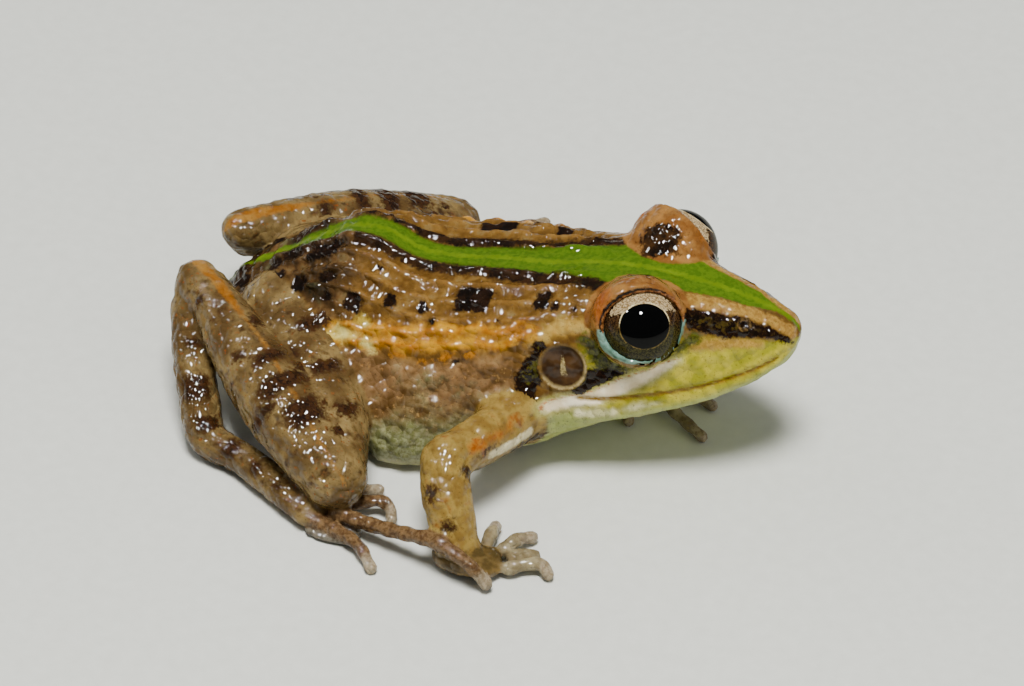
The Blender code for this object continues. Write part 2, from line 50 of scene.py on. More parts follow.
MM = 0.001
BOX_CENTRE = np.array([-23.433, -0.753, 0.0])
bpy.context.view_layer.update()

# %% [markdown]
# The camera comes first, so that every later step can be looked at from the photograph's side.
# It stands about 40 cm away with a long lens, 39 degrees above the floor and 18 degrees forward
# of the frog's right side. The floor is a wide pale sheet. Three broad lamps give the soft light and
# are kept out of reflections. Two small ones are seen in reflections only, where they make the
# crisp sparks of wet skin, so that the sparks can be bright without bleaching the colours.

# %% Camera, floor and light
AZIMUTH, ELEVATION = math.radians(18.0), math.radians(39.0)
LOOK_AT = np.array([-21.95, 0.0, 5.11])
PIXELS_PER_MM, IMAGE_WIDE, LENS, SENSOR = 13.8, 1024, 200.0, 36.0


def to_metres(points):
    """Move points from the snout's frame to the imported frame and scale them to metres."""
    return (np.asarray(points, float) - BOX_CENTRE) * MM


def aim(thing, target):
    """Turn a camera or lamp so that its -Z axis runs to the target."""
    thing.rotation_euler = (Vector(target) - thing.location).to_track_quat("-Z", "Y").to_euler()


backward = np.array([math.sin(AZIMUTH) * math.cos(ELEVATION),
                     -math.cos(AZIMUTH) * math.cos(ELEVATION), math.sin(ELEVATION)])
camera_data = bpy.data.cameras.new("camera")
camera_data.lens, camera_data.sensor_width = LENS, SENSOR
camera_data.clip_start, camera_data.clip_end = 0.01, 10
camera = bpy.data.objects.new("camera", camera_data)
bpy.context.scene.collection.objects.link(camera)
distance = LENS / SENSOR * IMAGE_WIDE / PIXELS_PER_MM
camera.location = to_metres(LOOK_AT + backward * distance)
aim(camera, to_metres(LOOK_AT))
bpy.context.scene.camera = camera
print("camera stands", round(distance), "mm away")


def lamp(name, direction, far, size, power, spark=False):
    """A square area lamp facing the frog's middle, for soft light or for sparks only."""
    data = bpy.data.lights.new(name, "AREA")
    data.size, data.energy = size, power
    thing = bpy.data.objects.new(name, data)
    bpy.context.scene.collection.objects.link(thing)
    thing.location = Vector(direction).normalized() * far
    aim(thing, (0, 0, 0.008))
    thing.visible_glossy, thing.visible_diffuse = spark, not spark


lamp("overhead", (0.077, -0.237, 0.969), 0.45, 0.14, 3.6)
lamp("spark_front", (0.077, -0.237, 0.969), 0.46, 0.045, 7.0, True)
lamp("spark_rear", (-0.55, -0.20, 0.80), 0.46, 0.03, 1.5, True)
lamp("soft_front", (1.0, -0.35, 0.55), 0.7, 0.6, 1.2)
lamp("soft_rear", (-0.9, 0.2, 0.7), 0.7, 0.5, 0.8)
world = bpy.data.worlds.new("room")
bpy.context.scene.world = world
world.use_nodes = True
room_light = world.node_tree.nodes["Background"].inputs
room_light["Color"].default_value = (0.9, 0.95, 1.0, 1)
room_light["Strength"].default_value = 0.16

# %% [markdown]
# ## Shapes shared by every part
# The body is a loft: five lines run from snout to vent down one side, and each cross-section is a
# closed curve through them and their mirror images. A limb is a tube of changing width and height
# along a bent path. Both need only one tool, a cubic curve through given points.

# %% Curves through points
def smooth(knots, values, where):
    """Cubic through the knots: each knot's slope is that of the parabola through its neighbours."""
    slopes = np.gradient(values, knots, axis=0)
    cell = np.clip(np.searchsorted(knots, where) - 1, 0, len(knots) - 2)
    width = knots[cell + 1] - knots[cell]
    t = (where - knots[cell]) / width
    shape = (-1,) + (1,) * (values.ndim - 1)
    t, width = t.reshape(shape), width.reshape(shape)
    start, end = values[cell], values[cell + 1]
    lean_out, lean_in = slopes[cell] * width, slopes[cell + 1] * width
    return (start * (1 + 2 * t) * (1 - t) ** 2 + end * t ** 2 * (3 - 2 * t)
            + lean_out * t * (1 - t) ** 2 - lean_in * t ** 2 * (1 - t))


def smoothstep(low, high, value):
    """0 below low, 1 above high, and an S-curve between."""
    t = np.clip((value - low) / (high - low), 0, 1)
    return t * t * (3 - 2 * t)


def bump(value, centre, width):
    """A bell that is 1 at the centre and has faded to a third at one width from it."""
    return np.exp(-((value - centre) / width) ** 2)


# %% The body's stations
SNOUT_TIP = (-0.45, 11.25)
VENT_TIP = (-43.9, 5.4)
# One row per station: x, back z, canthus y and z, side y and z, jaw y and z, belly z.
STATIONS = np.array([
    (-0.65, 11.9, 0.65, 11.7, 1.05, 10.85, 0.70, 10.3, 10.15),
    (-1.2, 12.3, 1.15, 12.1, 1.85, 10.45, 1.40, 9.6, 9.4),
    (-2.2, 12.8, 1.60, 12.4, 2.75, 9.95, 2.15, 8.9, 8.6),
    (-3.7, 13.3, 2.05, 12.85, 3.75, 9.30, 3.00, 8.1, 7.6),
    (-6.5, 13.9, 2.80, 13.40, 5.00, 8.30, 4.20, 7.0, 6.3),
    (-9.7, 14.4, 3.70, 13.80, 6.00, 7.50, 5.20, 5.9, 5.0),
    (-12.8, 14.5, 4.40, 13.60, 6.80, 6.90, 5.90, 4.9, 3.7),
    (-16.0, 14.1, 5.00, 13.00, 7.40, 6.80, 6.50, 3.3, 2.0),
    (-19.0, 13.3, 5.40, 12.10, 7.80, 6.40, 6.90, 1.6, 0.6),
    (-23.0, 12.8, 5.80, 11.30, 9.00, 5.60, 8.40, 0.8, 0.0),
    (-27.0, 12.1, 5.80, 10.60, 10.20, 4.30, 9.90, 0.3, -0.5),
    (-29.0, 12.3, 5.50, 10.60, 10.00, 4.30, 9.60, 0.3, -0.6),
    (-31.2, 13.3, 4.90, 10.80, 9.30, 4.80, 8.40, 0.4, -0.5),
    (-33.5, 13.3, 4.30, 10.80, 8.20, 5.20, 7.00, 0.6, -0.3),
    (-37.0, 11.3, 3.60, 9.30, 6.50, 5.40, 5.30, 1.2, 0.3),
    (-40.5, 8.7, 2.90, 7.70, 4.60, 5.00, 3.80, 2.5, 1.8),
    (-42.8, 7.0, 1.80, 6.40, 2.80, 5.20, 2.20, 3.9, 3.5),
])


def rail_rows(depths):
    """The five rails at each depth, where depth is the root of the distance from the snout."""
    ends = []
    for x, z in (SNOUT_TIP, VENT_TIP):
        ends.append([x, z, 0.0, z, 0.0, z, 0.0, z, z])
    table = np.vstack([ends[0], STATIONS, ends[1]])
    rows = smooth(np.sqrt(SNOUT_TIP[0] - table[:, 0]), table, depths)
    x = SNOUT_TIP[0] - depths ** 2
    flat = np.zeros_like(x)
    sides = [np.stack([x, flat, rows[:, 1]], 1)]
    for pair in (2, 4, 6):
        sides.append(np.stack([x, rows[:, pair], rows[:, pair + 1]], 1))
    sides.append(np.stack([x, flat, rows[:, 8]], 1))
    return np.stack(sides)


def body_surface(depths, columns):
    """Points of the body, rings along x and columns round: a closed cubic through eight rails."""
    rails = rail_rows(depths)
    mirror = rails[3:0:-1] * np.array([1, -1, 1])
    loop = np.concatenate([mirror[-2:], rails, mirror, rails[:2]])
    return smooth(np.arange(-2.0, len(loop) - 2), loop, columns).transpose(1, 0, 2)


# %% The limbs' paths
HIND_LEG = {
    "thigh": (((-38.8, -3.0, 6.4), (-36.4, -5.6, 5.9), (-33.4, -9.3, 4.9),
               (-31.0, -12.9, 4.1), (-30.0, -15.2, 3.7)),
              ((2.6, 2.8), (3.0, 3.0), (2.9, 2.9), (2.5, 2.5), (2.1, 2.2))),
    "shank": (((-29.9, -16.3, 3.55), (-33.2, -13.6, 4.7), (-36.8, -10.6, 5.7),
               (-40.3, -7.7, 6.8), (-43.2, -5.0, 7.7), (-44.7, -3.8, 7.9)),
              ((2.4, 2.4), (2.95, 2.75), (2.95, 2.75), (2.35, 2.3), (1.85, 1.85), (1.75, 1.75))),
    "tarsus": (((-44.8, -4.8, 6.5), (-43.9, -7.4, 5.0), (-42.7, -9.8, 3.6),
                (-41.7, -11.6, 2.5), (-41.1, -12.7, 1.8)),
               ((1.6, 1.7), (1.5, 1.6), (1.5, 1.5), (1.45, 1.45), (1.4, 1.4))),
    "foot": (((-40.4, -13.1, 1.35), (-37.9, -13.9, 1.25), (-34.9, -15.6, 1.2),
              (-32.2, -17.0, 1.1), (-31.0, -17.5, 1.0)),
             ((1.3, 1.3), (1.2, 1.2), (1.25, 1.15), (1.5, 1.0), (1.65, 0.85))),
    "web": (((-30.7, -17.9, 0.42), (-29.2, -18.3, 0.42), (-27.6, -18.7, 0.42)),
            ((1.5, 0.28), (1.5, 0.28), (1.0, 0.28))),
}
TOES = {
    "toe_1": (((-33.6, -15.0, 0.8), (-31.8, -13.8, 0.8), (-30.2, -12.9, 0.5)), 0.48),
    "toe_2": (((-31.2, -15.8, 0.85), (-29.2, -14.3, 0.9), (-27.6, -13.4, 0.5)), 0.48),
    "toe_3": (((-29.6, -16.6, 1.0), (-28.0, -15.8, 1.2), (-26.6, -15.3, 1.2),
               (-25.9, -15.7, 1.0), (-25.7, -16.2, 0.45)), 0.48),
    "toe_4": (((-29.4, -17.5, 1.2), (-26.6, -18.3, 1.55), (-24.2, -19.0, 2.05),
               (-22.0, -19.7, 2.6), (-20.2, -20.4, 2.8), (-18.8, -20.8, 2.4),
               (-17.6, -20.9, 1.4), (-17.1, -20.9, 0.75)), 0.54),
    "toe_5": (((-30.5, -18.5, 0.95), (-28.5, -19.1, 0.95), (-26.7, -20.1, 0.85),
               (-25.4, -21.5, 0.45)), 0.50),
}
LEFT_THIGH_SHANK = {
    "thigh": (((-38.8, 2.8, 6.4), (-36.8, 5.2, 5.7), (-34.3, 8.7, 4.4),
               (-32.3, 11.9, 3.3), (-31.6, 13.7, 2.8)),
              ((2.6, 2.8), (2.9, 2.9), (2.8, 2.8), (2.4, 2.5), (2.1, 2.2))),
    "shank": (((-31.5, 14.6, 2.7), (-34.4, 12.0, 4.1), (-37.4, 9.2, 5.6),
               (-40.3, 6.4, 6.9), (-42.7, 4.1, 7.8), (-43.8, 3.0, 8.0)),
              ((2.3, 2.3), (2.7, 2.5), (2.7, 2.5), (2.1, 2.1), (1.6, 1.65), (1.5, 1.5))),
}
LEFT_TOE_4 = (((-29.4, -17.5, 1.2), (-27.2, -18.0, 1.35), (-24.6, -18.4, 1.4),
               (-21.8, -19.2, 1.1), (-19.4, -20.4, 0.5)), 0.54)
LEFT_FOOT_SCALE = (0.93, -0.93, 1.0)
LEFT_FOOT_SHIFT = (-2.2, 0.0, 0.0)
RIGHT_ARM = {
    "upper_arm": (((-18.6, -5.6, 5.0), (-19.6, -9.3, 5.3), (-21.1, -12.8, 5.7),
                   (-21.9, -14.2, 5.8)),
                  ((2.2, 2.3), (1.9, 2.0), (1.7, 1.8), (1.65, 1.7))),
    "forearm": (((-22.2, -15.0, 5.7), (-21.6, -16.2, 4.6), (-20.6, -17.7, 2.8),
                 (-19.9, -18.5, 1.8)),
                ((1.65, 1.7), (1.8, 1.75), (1.7, 1.6), (1.5, 1.3))),
    "hand": (((-20.4, -19.0, 1.2), (-19.0, -19.2, 1.0), (-17.4, -18.7, 0.8)),
             ((1.4, 1.15), (1.5, 0.9), (1.4, 0.75))),
}
RIGHT_FINGERS = {
    "finger_1": (((-18.3, -16.9, 0.8), (-18.3, -15.8, 1.0), (-18.4, -14.7, 0.55)), 0.50),
    "finger_2": (((-17.0, -17.1, 0.8), (-16.3, -16.0, 1.0), (-15.6, -15.0, 0.55)), 0.52),
    "finger_3": (((-16.1, -17.7, 0.8), (-15.4, -17.3, 0.95), (-14.8, -16.8, 0.55)), 0.48),
    "finger_4": (((-16.1, -18.9, 0.75), (-15.1, -18.3, 0.85), (-13.8, -17.9, 0.85),
                  (-13.3, -18.4, 0.5)), 0.48),
}
LEFT_ARM = {
    "upper_arm": (((-18.6, 5.6, 4.6), (-19.0, 8.2, 4.6), (-19.4, 10.6, 4.6),
                   (-19.6, 11.8, 4.5)),
                  ((2.2, 2.3), (1.9, 2.0), (1.75, 1.8), (1.65, 1.65))),
    "forearm": (((-19.4, 12.4, 4.3), (-18.0, 11.5, 3.6), (-16.3, 9.9, 2.5),
                 (-15.2, 8.8, 1.8)),
                ((1.65, 1.65), (1.8, 1.7), (1.7, 1.55), (1.4, 1.25))),
    "hand": (((-14.7, 8.0, 1.2), (-13.9, 6.7, 1.0), (-13.2, 5.6, 0.9)),
             ((1.6, 1.1), (1.75, 0.95), (1.6, 0.8))),
}
LEFT_FINGERS = {
    "finger_1": (((-14.3, 4.6, 0.8), (-13.8, 2.0, 1.0), (-12.9, -0.5, 0.5)), 0.48),
    "finger_2": (((-12.8, 4.3, 0.8), (-10.6, 1.6, 1.0), (-7.3, -0.6, 0.5)), 0.48),
    "finger_3": (((-11.7, 5.1, 0.8), (-9.7, 3.7, 0.9), (-7.6, 3.0, 0.5)), 0.48),
    "finger_4": (((-11.7, 6.5, 0.8), (-10.1, 6.4, 0.9), (-8.8, 7.0, 0.5)), 0.48),
}


def limb_table():
    """Every limb part of both sides: its path and its half widths and half heights."""
    table = {}
    for side, word in ((-1, "right"), (1, "left")):
        arm, fingers = (RIGHT_ARM, RIGHT_FINGERS) if side < 0 else (LEFT_ARM, LEFT_FINGERS)
        for name, (points, sizes) in {**HIND_LEG, **TOES, **arm, **fingers}.items():
            if side > 0 and name in LEFT_THIGH_SHANK:
                points, sizes = LEFT_THIGH_SHANK[name]
            elif side > 0 and (name in HIND_LEG or name in TOES):
                points, sizes = LEFT_TOE_4 if name == "toe_4" else (points, sizes)
                points = np.array(points) * LEFT_FOOT_SCALE + LEFT_FOOT_SHIFT
            points = np.array(points)
            if np.ndim(sizes) == 0:
                taper = 1.08 - 0.22 * np.linspace(0, 1, len(points))
                sizes = np.repeat((sizes * taper)[:, None], 2, axis=1)
            table[f"{name}_{word}"] = (points, np.array(sizes))
    return table


LIMBS = limb_table()
print(len(LIMBS), "limb parts")


# %% [markdown]
# A tube's cross-section is an ellipse in the plane square to its path: half its width runs level,
# half its height runs up. Each end is closed with half an ellipsoid, made of rings that shrink as
# the cosine of an angle while they move on by its sine.

# %% Tubes with round ends
TUBE_RINGS, TUBE_SIDES, CAP_RINGS = 40, 32, 6
# Toes and fingers swell like a row of beads: so many mm from one to the next, and by this share.
BEAD_EVERY, BEAD_SWELL = 1.5, 0.09


def unit(ways):
    """The same directions, each one long."""
    return ways / np.linalg.norm(ways, axis=-1, keepdims=True)


def level_and_up(along):
    """The level direction square to each way along, and the one square to both that points up."""
    level = unit(np.cross(along, (0, 0, 1)))
    return level, np.cross(level, along)


def tube_path(points, sizes, rings=TUBE_RINGS):
    """Even steps along the part's smooth middle line, with its direction and size at each."""
    steps = np.linalg.norm(np.diff(points, axis=0), axis=1)
    knots = np.concatenate([[0], np.cumsum(steps)])
    where = np.linspace(0, knots[-1], rings)
    path, size = smooth(knots, points, where), smooth(knots, sizes, where)
    return where, path, unit(np.gradient(path, axis=0)), size


def tube_rows(points, sizes, beaded=False):
    """Rings of an elliptical tube along a smooth path, round at both ends."""
    where, path, tangent, size = tube_path(points, sizes)
    if beaded:
        from_tip = where[-1] - where
        size = size * (1 + BEAD_SWELL * np.cos(2 * math.pi * from_tip / BEAD_EVERY))[:, None]
    turn_in = np.linspace(0, math.pi / 2, CAP_RINGS + 1)[1:-1]
    for end, sign in ((0, -1), (-1, 1)):
        reach = size[end].min()
        ahead = path[end] + sign * tangent[end] * reach * np.sin(turn_in)[:, None]
        narrow = size[end] * np.cos(turn_in)[:, None]
        along = np.repeat(tangent[end][None], len(turn_in), 0)
        if sign < 0:
            path, size = np.vstack([ahead[::-1], path]), np.vstack([narrow[::-1], size])
            tangent = np.vstack([along, tangent])
            first = path[len(turn_in)] - tangent[0] * reach
        else:
            last = path[-1] + tangent[-1] * reach
            path, size = np.vstack([path, ahead]), np.vstack([size, narrow])
            tangent = np.vstack([tangent, along])
    across, upward = level_and_up(tangent)
    turn = np.linspace(0, 2 * math.pi, TUBE_SIDES, endpoint=False)
    rows = (path[:, None] + across[:, None] * (size[:, :1] * np.cos(turn))[:, :, None]
            + upward[:, None] * (size[:, 1:] * np.sin(turn))[:, :, None])
    return rows, first, last


def grid_faces(rings, sides):
    """Quads between the rings, and triangles from each end point to its ring."""
    ring, side = np.meshgrid(np.arange(rings - 1), np.arange(sides), indexing="ij")
    after = (side + 1) % sides
    quads = np.stack([ring * sides + side, ring * sides + after,
                      (ring + 1) * sides + after, (ring + 1) * sides + side], -1).reshape(-1, 4)
    side = np.arange(sides)
    after = (side + 1) % sides
    start, end = rings * sides, rings * sides + 1
    top = (rings - 1) * sides
    caps = np.concatenate([np.stack([np.full(sides, start), after, side], 1),
                           np.stack([np.full(sides, end), top + side, top + after], 1)])
    return quads, caps


# %% [markdown]
# ## One skin from many parts
# A frog's skin runs over the whole body without a break, so the parts are not joined edge to edge.
# Instead each part is turned into a block of numbers: at every point of a fine grid, the distance
# to that part's surface, negative inside. Taking the smaller of two blocks joins two parts, and a
# smooth minimum also rounds the crease between them, as flesh does at a shoulder. The skin is the
# surface where the joined block is zero.

# %% Distance blocks
VOXEL = 0.227
REACH = 8
GRID_LOW = np.array([-47.5, -25.0, -1.0])
GRID_HIGH = np.array([1.5, 21.5, 18.5])
GRID_SHAPE = np.ceil((GRID_HIGH - GRID_LOW) / VOXEL).astype(int)
FAR = VOXEL * REACH
print("distance grid of", GRID_SHAPE.tolist(), "cells")


def distance_block(rows, first, last):
    """The part's distance numbers in the smallest box of the grid that holds it, and that box."""
    points = np.vstack([rows.reshape(-1, 3), first, last])
    quads, caps = grid_faces(*rows.shape[:2])
    grid = openvdb.FloatGrid.createLevelSetFromPolygons(
        ((points - GRID_LOW) / VOXEL).astype(np.float32), triangles=caps.astype(np.uint32),
        quads=quads.astype(np.uint32), halfWidth=float(REACH))
    low = np.floor((points.min(0) - GRID_LOW) / VOXEL).astype(int) - REACH
    high = np.ceil((points.max(0) - GRID_LOW) / VOXEL).astype(int) + REACH
    low, high = np.maximum(low, 0), np.minimum(high, GRID_SHAPE)
    block = np.zeros(high - low, dtype=np.float32)
    grid.copyToArray(block, ijk=tuple(int(v) for v in low))
    return block * VOXEL, tuple(slice(a, b) for a, b in zip(low, high))


def soft_min(a, b, radius):
    """The smaller of two distances, with the crease between them rounded over the radius."""
    share = np.clip(0.5 + 0.5 * (b - a) / radius, 0, 1)
    return b + (a - b) * share - radius * share * (1 - share)


# %% The body and the limbs in one block
BODY_RINGS, BODY_SIDES = 260, 160
vent_depth = math.sqrt(SNOUT_TIP[0] - VENT_TIP[0])
BODY_DEPTHS = np.linspace(vent_depth / BODY_RINGS, vent_depth * 0.999, BODY_RINGS)
body_rows = body_surface(BODY_DEPTHS, np.linspace(0, 8, BODY_SIDES, endpoint=False))
ends = [(x, 0.0, z) for x, z in (SNOUT_TIP, VENT_TIP)]
BLEND = {"thigh": 0.9, "shank": 0.35, "tarsus": 0.4, "foot": 0.4, "web": 0.3, "upper_arm": 1.5,
         "forearm": 0.8, "hand": 0.7, "toe": 0.25, "finger": 0.3}


def kind_of(name):
    """The kind of a limb part: toe_4_left is a toe."""
    return [kind for kind in BLEND if name.startswith(kind)][0]


near = {kind: np.full(GRID_SHAPE, FAR, dtype=np.float32) for kind in ("body", *BLEND)}
block, room = distance_block(body_rows, *ends)
near["body"][room] = block
skin = near["body"].copy()
for name, (points, sizes) in LIMBS.items():
    kind = kind_of(name)
    block, room = distance_block(*tube_rows(points, sizes, kind in ("toe", "finger")))
    near[kind][room] = np.minimum(near[kind][room], block)
    skin[room] = soft_min(skin[room], block, BLEND[kind])
print("joined", len(LIMBS), "limb parts to the body")

# %% [markdown]
# The eyes bulge out of the head under thick lids. A ball slightly larger than the eye, its middle a
# little above and behind the eye's, is joined softly to the head: so the lid is thick above the eye
# and thin below. Then a cone with an oval mouth is cut through it along the direction that the eye
# looks, and a round socket for the eye itself. Places on the eye are told by two angles, forward
# and up from the direction in which it looks.

# %% Lids and sockets
EYE_CENTRE = np.array([-10.95, 4.5, 12.95])
EYE_AXIS = np.array([0.40, 0.72, 0.57])
EYE_RADIUS = 2.95
LID_RADIUS, LID_BACK, LID_LIFT = 3.34, 0.15, 0.30
LID_BLEND, RIM_ROUND, SOCKET_ROUND = 0.75, 0.15, 0.10
# The opening's half width and half height in degrees, how far back its middle lies, and where, in mm
# from the eye's centre, the cone begins. The socket is a hair smaller than the eye's full radius,
# and the eyeball a hair smaller again.
OPENING_WIDE, OPENING_TALL, OPENING_BACK, CONE_FROM = 67.5, 52.0, 1.5, 2.0
SOCKET_TIGHT = 0.02
cells = np.meshgrid(*[GRID_LOW[k] + VOXEL * np.arange(GRID_SHAPE[k]) for k in range(3)],
                    indexing="ij", sparse=True)


def eye_frame(side, way):
    """The eye's centre, a way out of it, and the forward and upright directions across that."""
    axis = unit(way * [1, side, 1])
    level, upright = level_and_up(axis)
    return EYE_CENTRE * [1, side, 1], axis, level * side, upright


def eye_angles(px, py, pz, side):
    """Degrees forward and up from the eye's axis, distance to its centre and to the lid's ball."""
    centre, *ways = eye_frame(side, EYE_AXIS)
    offset = (px - centre[0], py - centre[1], pz - centre[2])
    out, ahead, above = (sum(offset[k] * way[k] for k in range(3)) for way in ways)
    across = np.hypot(ahead, above)
    per_mm = np.degrees(np.arctan2(across, out)) / np.maximum(across, 1e-6)
    to_lid = np.sqrt(out ** 2 + (ahead + LID_BACK) ** 2 + (above - LID_LIFT) ** 2)
    return ahead * per_mm, above * per_mm, np.sqrt(out ** 2 + across ** 2), to_lid


def beyond_opening(ahead, above, distance):
    """How far outside the oval cone of the opening, in mm."""
    oval = np.hypot((ahead + OPENING_BACK) / OPENING_WIDE, above / OPENING_TALL)
    return (oval - 1) * math.radians(OPENING_TALL) * distance


for side in (-1, 1):
    ahead, above, from_eye, to_lid = eye_angles(*cells, side)
    skin = soft_min(skin, (to_lid - LID_RADIUS).astype(np.float32), LID_BLEND)
    opening = np.maximum(beyond_opening(ahead, above, from_eye), CONE_FROM - from_eye)
    skin = -soft_min(-skin, opening.astype(np.float32), RIM_ROUND)
    skin = -soft_min(-skin, (from_eye - EYE_RADIUS + SOCKET_TIGHT).astype(np.float32), SOCKET_ROUND)
print("lids and sockets shaped")

# %% Flat undersides, and the surface itself
FLOOR_ROUND = 0.12
skin = -soft_min(-skin, (cells[2] + np.zeros_like(skin)), FLOOR_ROUND)
volume = openvdb.FloatGrid(FAR)
volume.copyFromArray(np.ascontiguousarray(skin))
skin_points, skin_quads = volume.convertToQuads(0.0)
skin_points = GRID_LOW + skin_points.astype(float) * VOXEL
print("skin of", len(skin_points), "points and", len(skin_quads), "quads",
      "from", np.round(skin_points.min(0), 2), "to", np.round(skin_points.max(0), 2))


# %% Mesh from arrays
def mesh_piece(name, points, faces):
    """A smooth mesh object at the origin from points in millimetres and a list of faces."""
    mesh = bpy.data.meshes.new(name)
    mesh.from_pydata(to_metres(points).tolist(), [], faces)
    mesh.polygons.foreach_set("use_smooth", np.ones(len(faces), dtype=bool))
    thing = bpy.data.objects.new(name, mesh)
    bpy.context.scene.collection.objects.link(thing)
    return thing


def store(mesh, fields):
    """Keep fields on the mesh, one number at every point, for a material to read by name."""
    for name, values in fields.items():
        layer = mesh.attributes.new(name, "FLOAT", "POINT")
        layer.data.foreach_set("value", values.astype(np.float32))


def vertex_normals(mesh):
    """The direction that the surface faces at every point."""
    normals = np.empty(len(mesh.vertices) * 3, dtype=np.float32)
    mesh.vertex_normals.foreach_get("vector", normals)
    return normals.reshape(-1, 3).astype(float)


skin_piece = mesh_piece("skin", skin_points, skin_quads.tolist())
skin_normals = vertex_normals(skin_piece.data)
lift = (skin_normals * (skin_points - skin_points.mean(0))).sum(1).mean()
print("skin faces outwards:", bool(lift > 0))

# %% [markdown]
# ## Finding the way about on the skin
# Ridges and markings follow the animal and not the room, so every point of the skin gets
# coordinates that follow the animal too. On the body they are x and the column, which counts 0 along
# the middle of the back, 1 at the edge of the back, 2 along the side and 4 under the belly. On a
# limb they are the way along it and the turn round it. A point's share in each part is worked out
# from the distance blocks, so that marks on one part fade out where the next begins.

# %% Shares in each part
def between_cells(numbers, cell, part):
    """Numbers of a block or table past a cell by a part of one: the nearer a cell, the more it counts."""
    total = np.zeros(len(cell))
    for corner in np.ndindex((2,) * numbers.ndim):
        share = np.prod(np.where(corner, part, 1 - part), axis=1)
        total += share * numbers[tuple(((cell + corner) % numbers.shape).T)]
    return total


def sample(block, points):
    """The distance block's numbers at any points."""
    place = np.clip((points - GRID_LOW) / VOXEL, 0, np.array(GRID_SHAPE) - 1.001)
    cell = place.astype(int)
    return between_cells(block, cell, place - cell)


SHARE_BLUR = 0.22
gaps = {kind: sample(block, skin_points) for kind, block in near.items()}
least = np.min(list(gaps.values()), axis=0)
shares = {kind: np.exp(-(gap - least) / SHARE_BLUR) for kind, gap in gaps.items()}
whole = sum(shares.values())
shares = {kind: share / whole for kind, share in shares.items()}
print("share of the skin that is", {kind: round(float(s.mean()), 3) for kind, s in shares.items()})

# %% Columns of the body
x, y, z = skin_points.T
TURNS = np.linspace(0, math.pi, 241)
STEPS = 30
HALF_COLUMNS = np.linspace(0, 4, 4 * STEPS + 1)
half_body = body_surface(BODY_DEPTHS, HALF_COLUMNS)
middle_z = (half_body[:, 0, 2] + half_body[:, -1, 2]) / 2
half_turn = np.arctan2(half_body[:, :, 1], half_body[:, :, 2] - middle_z[:, None])
half_turn = np.maximum.accumulate(half_turn, axis=1)
column_table = np.array([np.interp(TURNS, turns, HALF_COLUMNS) for turns in half_turn])
width_table = np.linalg.norm(np.gradient(half_body, 1 / STEPS, axis=1), axis=2)
depth = np.sqrt(np.maximum(SNOUT_TIP[0] - x, 0))
ring = np.interp(depth, BODY_DEPTHS, np.arange(len(BODY_DEPTHS)))


def lookup(table, row, place):
    """A table's numbers between its rows and columns."""
    place = np.stack([row, place], 1)
    cell = np.minimum(place.astype(int), np.array(table.shape) - 2)
    return between_cells(table, cell, place - cell)


turn = np.arctan2(np.abs(y), z - np.interp(ring, np.arange(len(middle_z)), middle_z))
column = lookup(column_table, ring, turn / math.pi * (len(TURNS) - 1))
column_mm = lookup(width_table, ring, column * STEPS)
print("columns from", round(float(column.min()), 2), "to", round(float(column.max()), 2))


def on_body(x, column):
    """The body's point at an x and a column, on the left side."""
    return body_surface(np.array([math.sqrt(SNOUT_TIP[0] - x)]), np.array([column]))[0, 0]


def below(rail):
    """How far below a column of the body each point lies, in mm along the skin."""
    return (column - rail) * column_mm


def track(table):
    """The second number of a table's rows at every point's x, straight between the rows."""
    places, numbers = zip(*[row[:2] for row in table])
    return np.interp(-x, -np.array(places), numbers)


def stretch(front, rear, front_fade, rear_fade):
    """1 between two places along the body, fading out over a length in mm at each."""
    return smoothstep(front, front - front_fade, x) * smoothstep(rear, rear + rear_fade, x)


# %% Ways along the limbs
# A point belongs to a limb part if it lies near the part's middle line and has a share in the part.
LIMB_ROOM, LIMB_SLACK = 3.5, 1.0
SHARE_FIRST, SHARE_LATER = 0.02, 0.5
limb_along, limb_turn = np.zeros(len(x)), np.zeros(len(x))
owner = np.full(len(x), -1)
for number, (name, (points, sizes)) in enumerate(LIMBS.items()):
    kind = kind_of(name)
    side = -1 if name.endswith("right") else 1
    where, path, tangent, size = tube_path(points, sizes, 60)
    low, high = path.min(0) - LIMB_ROOM, path.max(0) + LIMB_ROOM
    inside = np.all((skin_points > low) & (skin_points < high), axis=1)
    mine = np.flatnonzero((shares[kind] > SHARE_FIRST) & inside)
    offset = skin_points[mine, None] - path[None]
    gap = (offset ** 2).sum(2)
    nearest = gap.argmin(1)
    offset = offset[np.arange(len(mine)), nearest]
    fits = np.sqrt(gap.min(1)) < size.max() + LIMB_SLACK
    mine, nearest, offset = mine[fits], nearest[fits], offset[fits]
    across, upward = level_and_up(tangent)
    level = (offset * across[nearest]).sum(1) * -side
    turns = np.degrees(np.arctan2((offset * upward[nearest]).sum(1), level))
    best = shares[kind][mine] > np.where(owner[mine] >= 0, SHARE_LATER, SHARE_FIRST)
    mine = mine[best]
    limb_along[mine] = where[nearest[best]] + (offset[best] * tangent[nearest[best]]).sum(1)
    limb_turn[mine] = turns[best]
    owner[mine] = number
print("limb points", int((owner >= 0).sum()))

# %% [markdown]
# ## Relief
# The back carries five raised ridges on each side, broken into long beads, and the outermost is a
# thick lumpy fold. The mouth is a fine groove, the nostril a pit with a rim, the eardrum a sunken
# disc in a ring. Flank, belly and legs are grained with small warts. All of this moves the points
# along the surface's own direction, by less than 0.7 mm.

# %% Smooth random lumps
def lumps(points, size, seed):
    """Value noise: random numbers on a lattice of this size in mm, eased between its corners."""
    random = np.random.default_rng(seed).uniform(-1, 1, (32, 32, 32))
    place = points / size
    cell = np.floor(place).astype(int)
    return between_cells(random, cell, smoothstep(0, 1, place - cell))


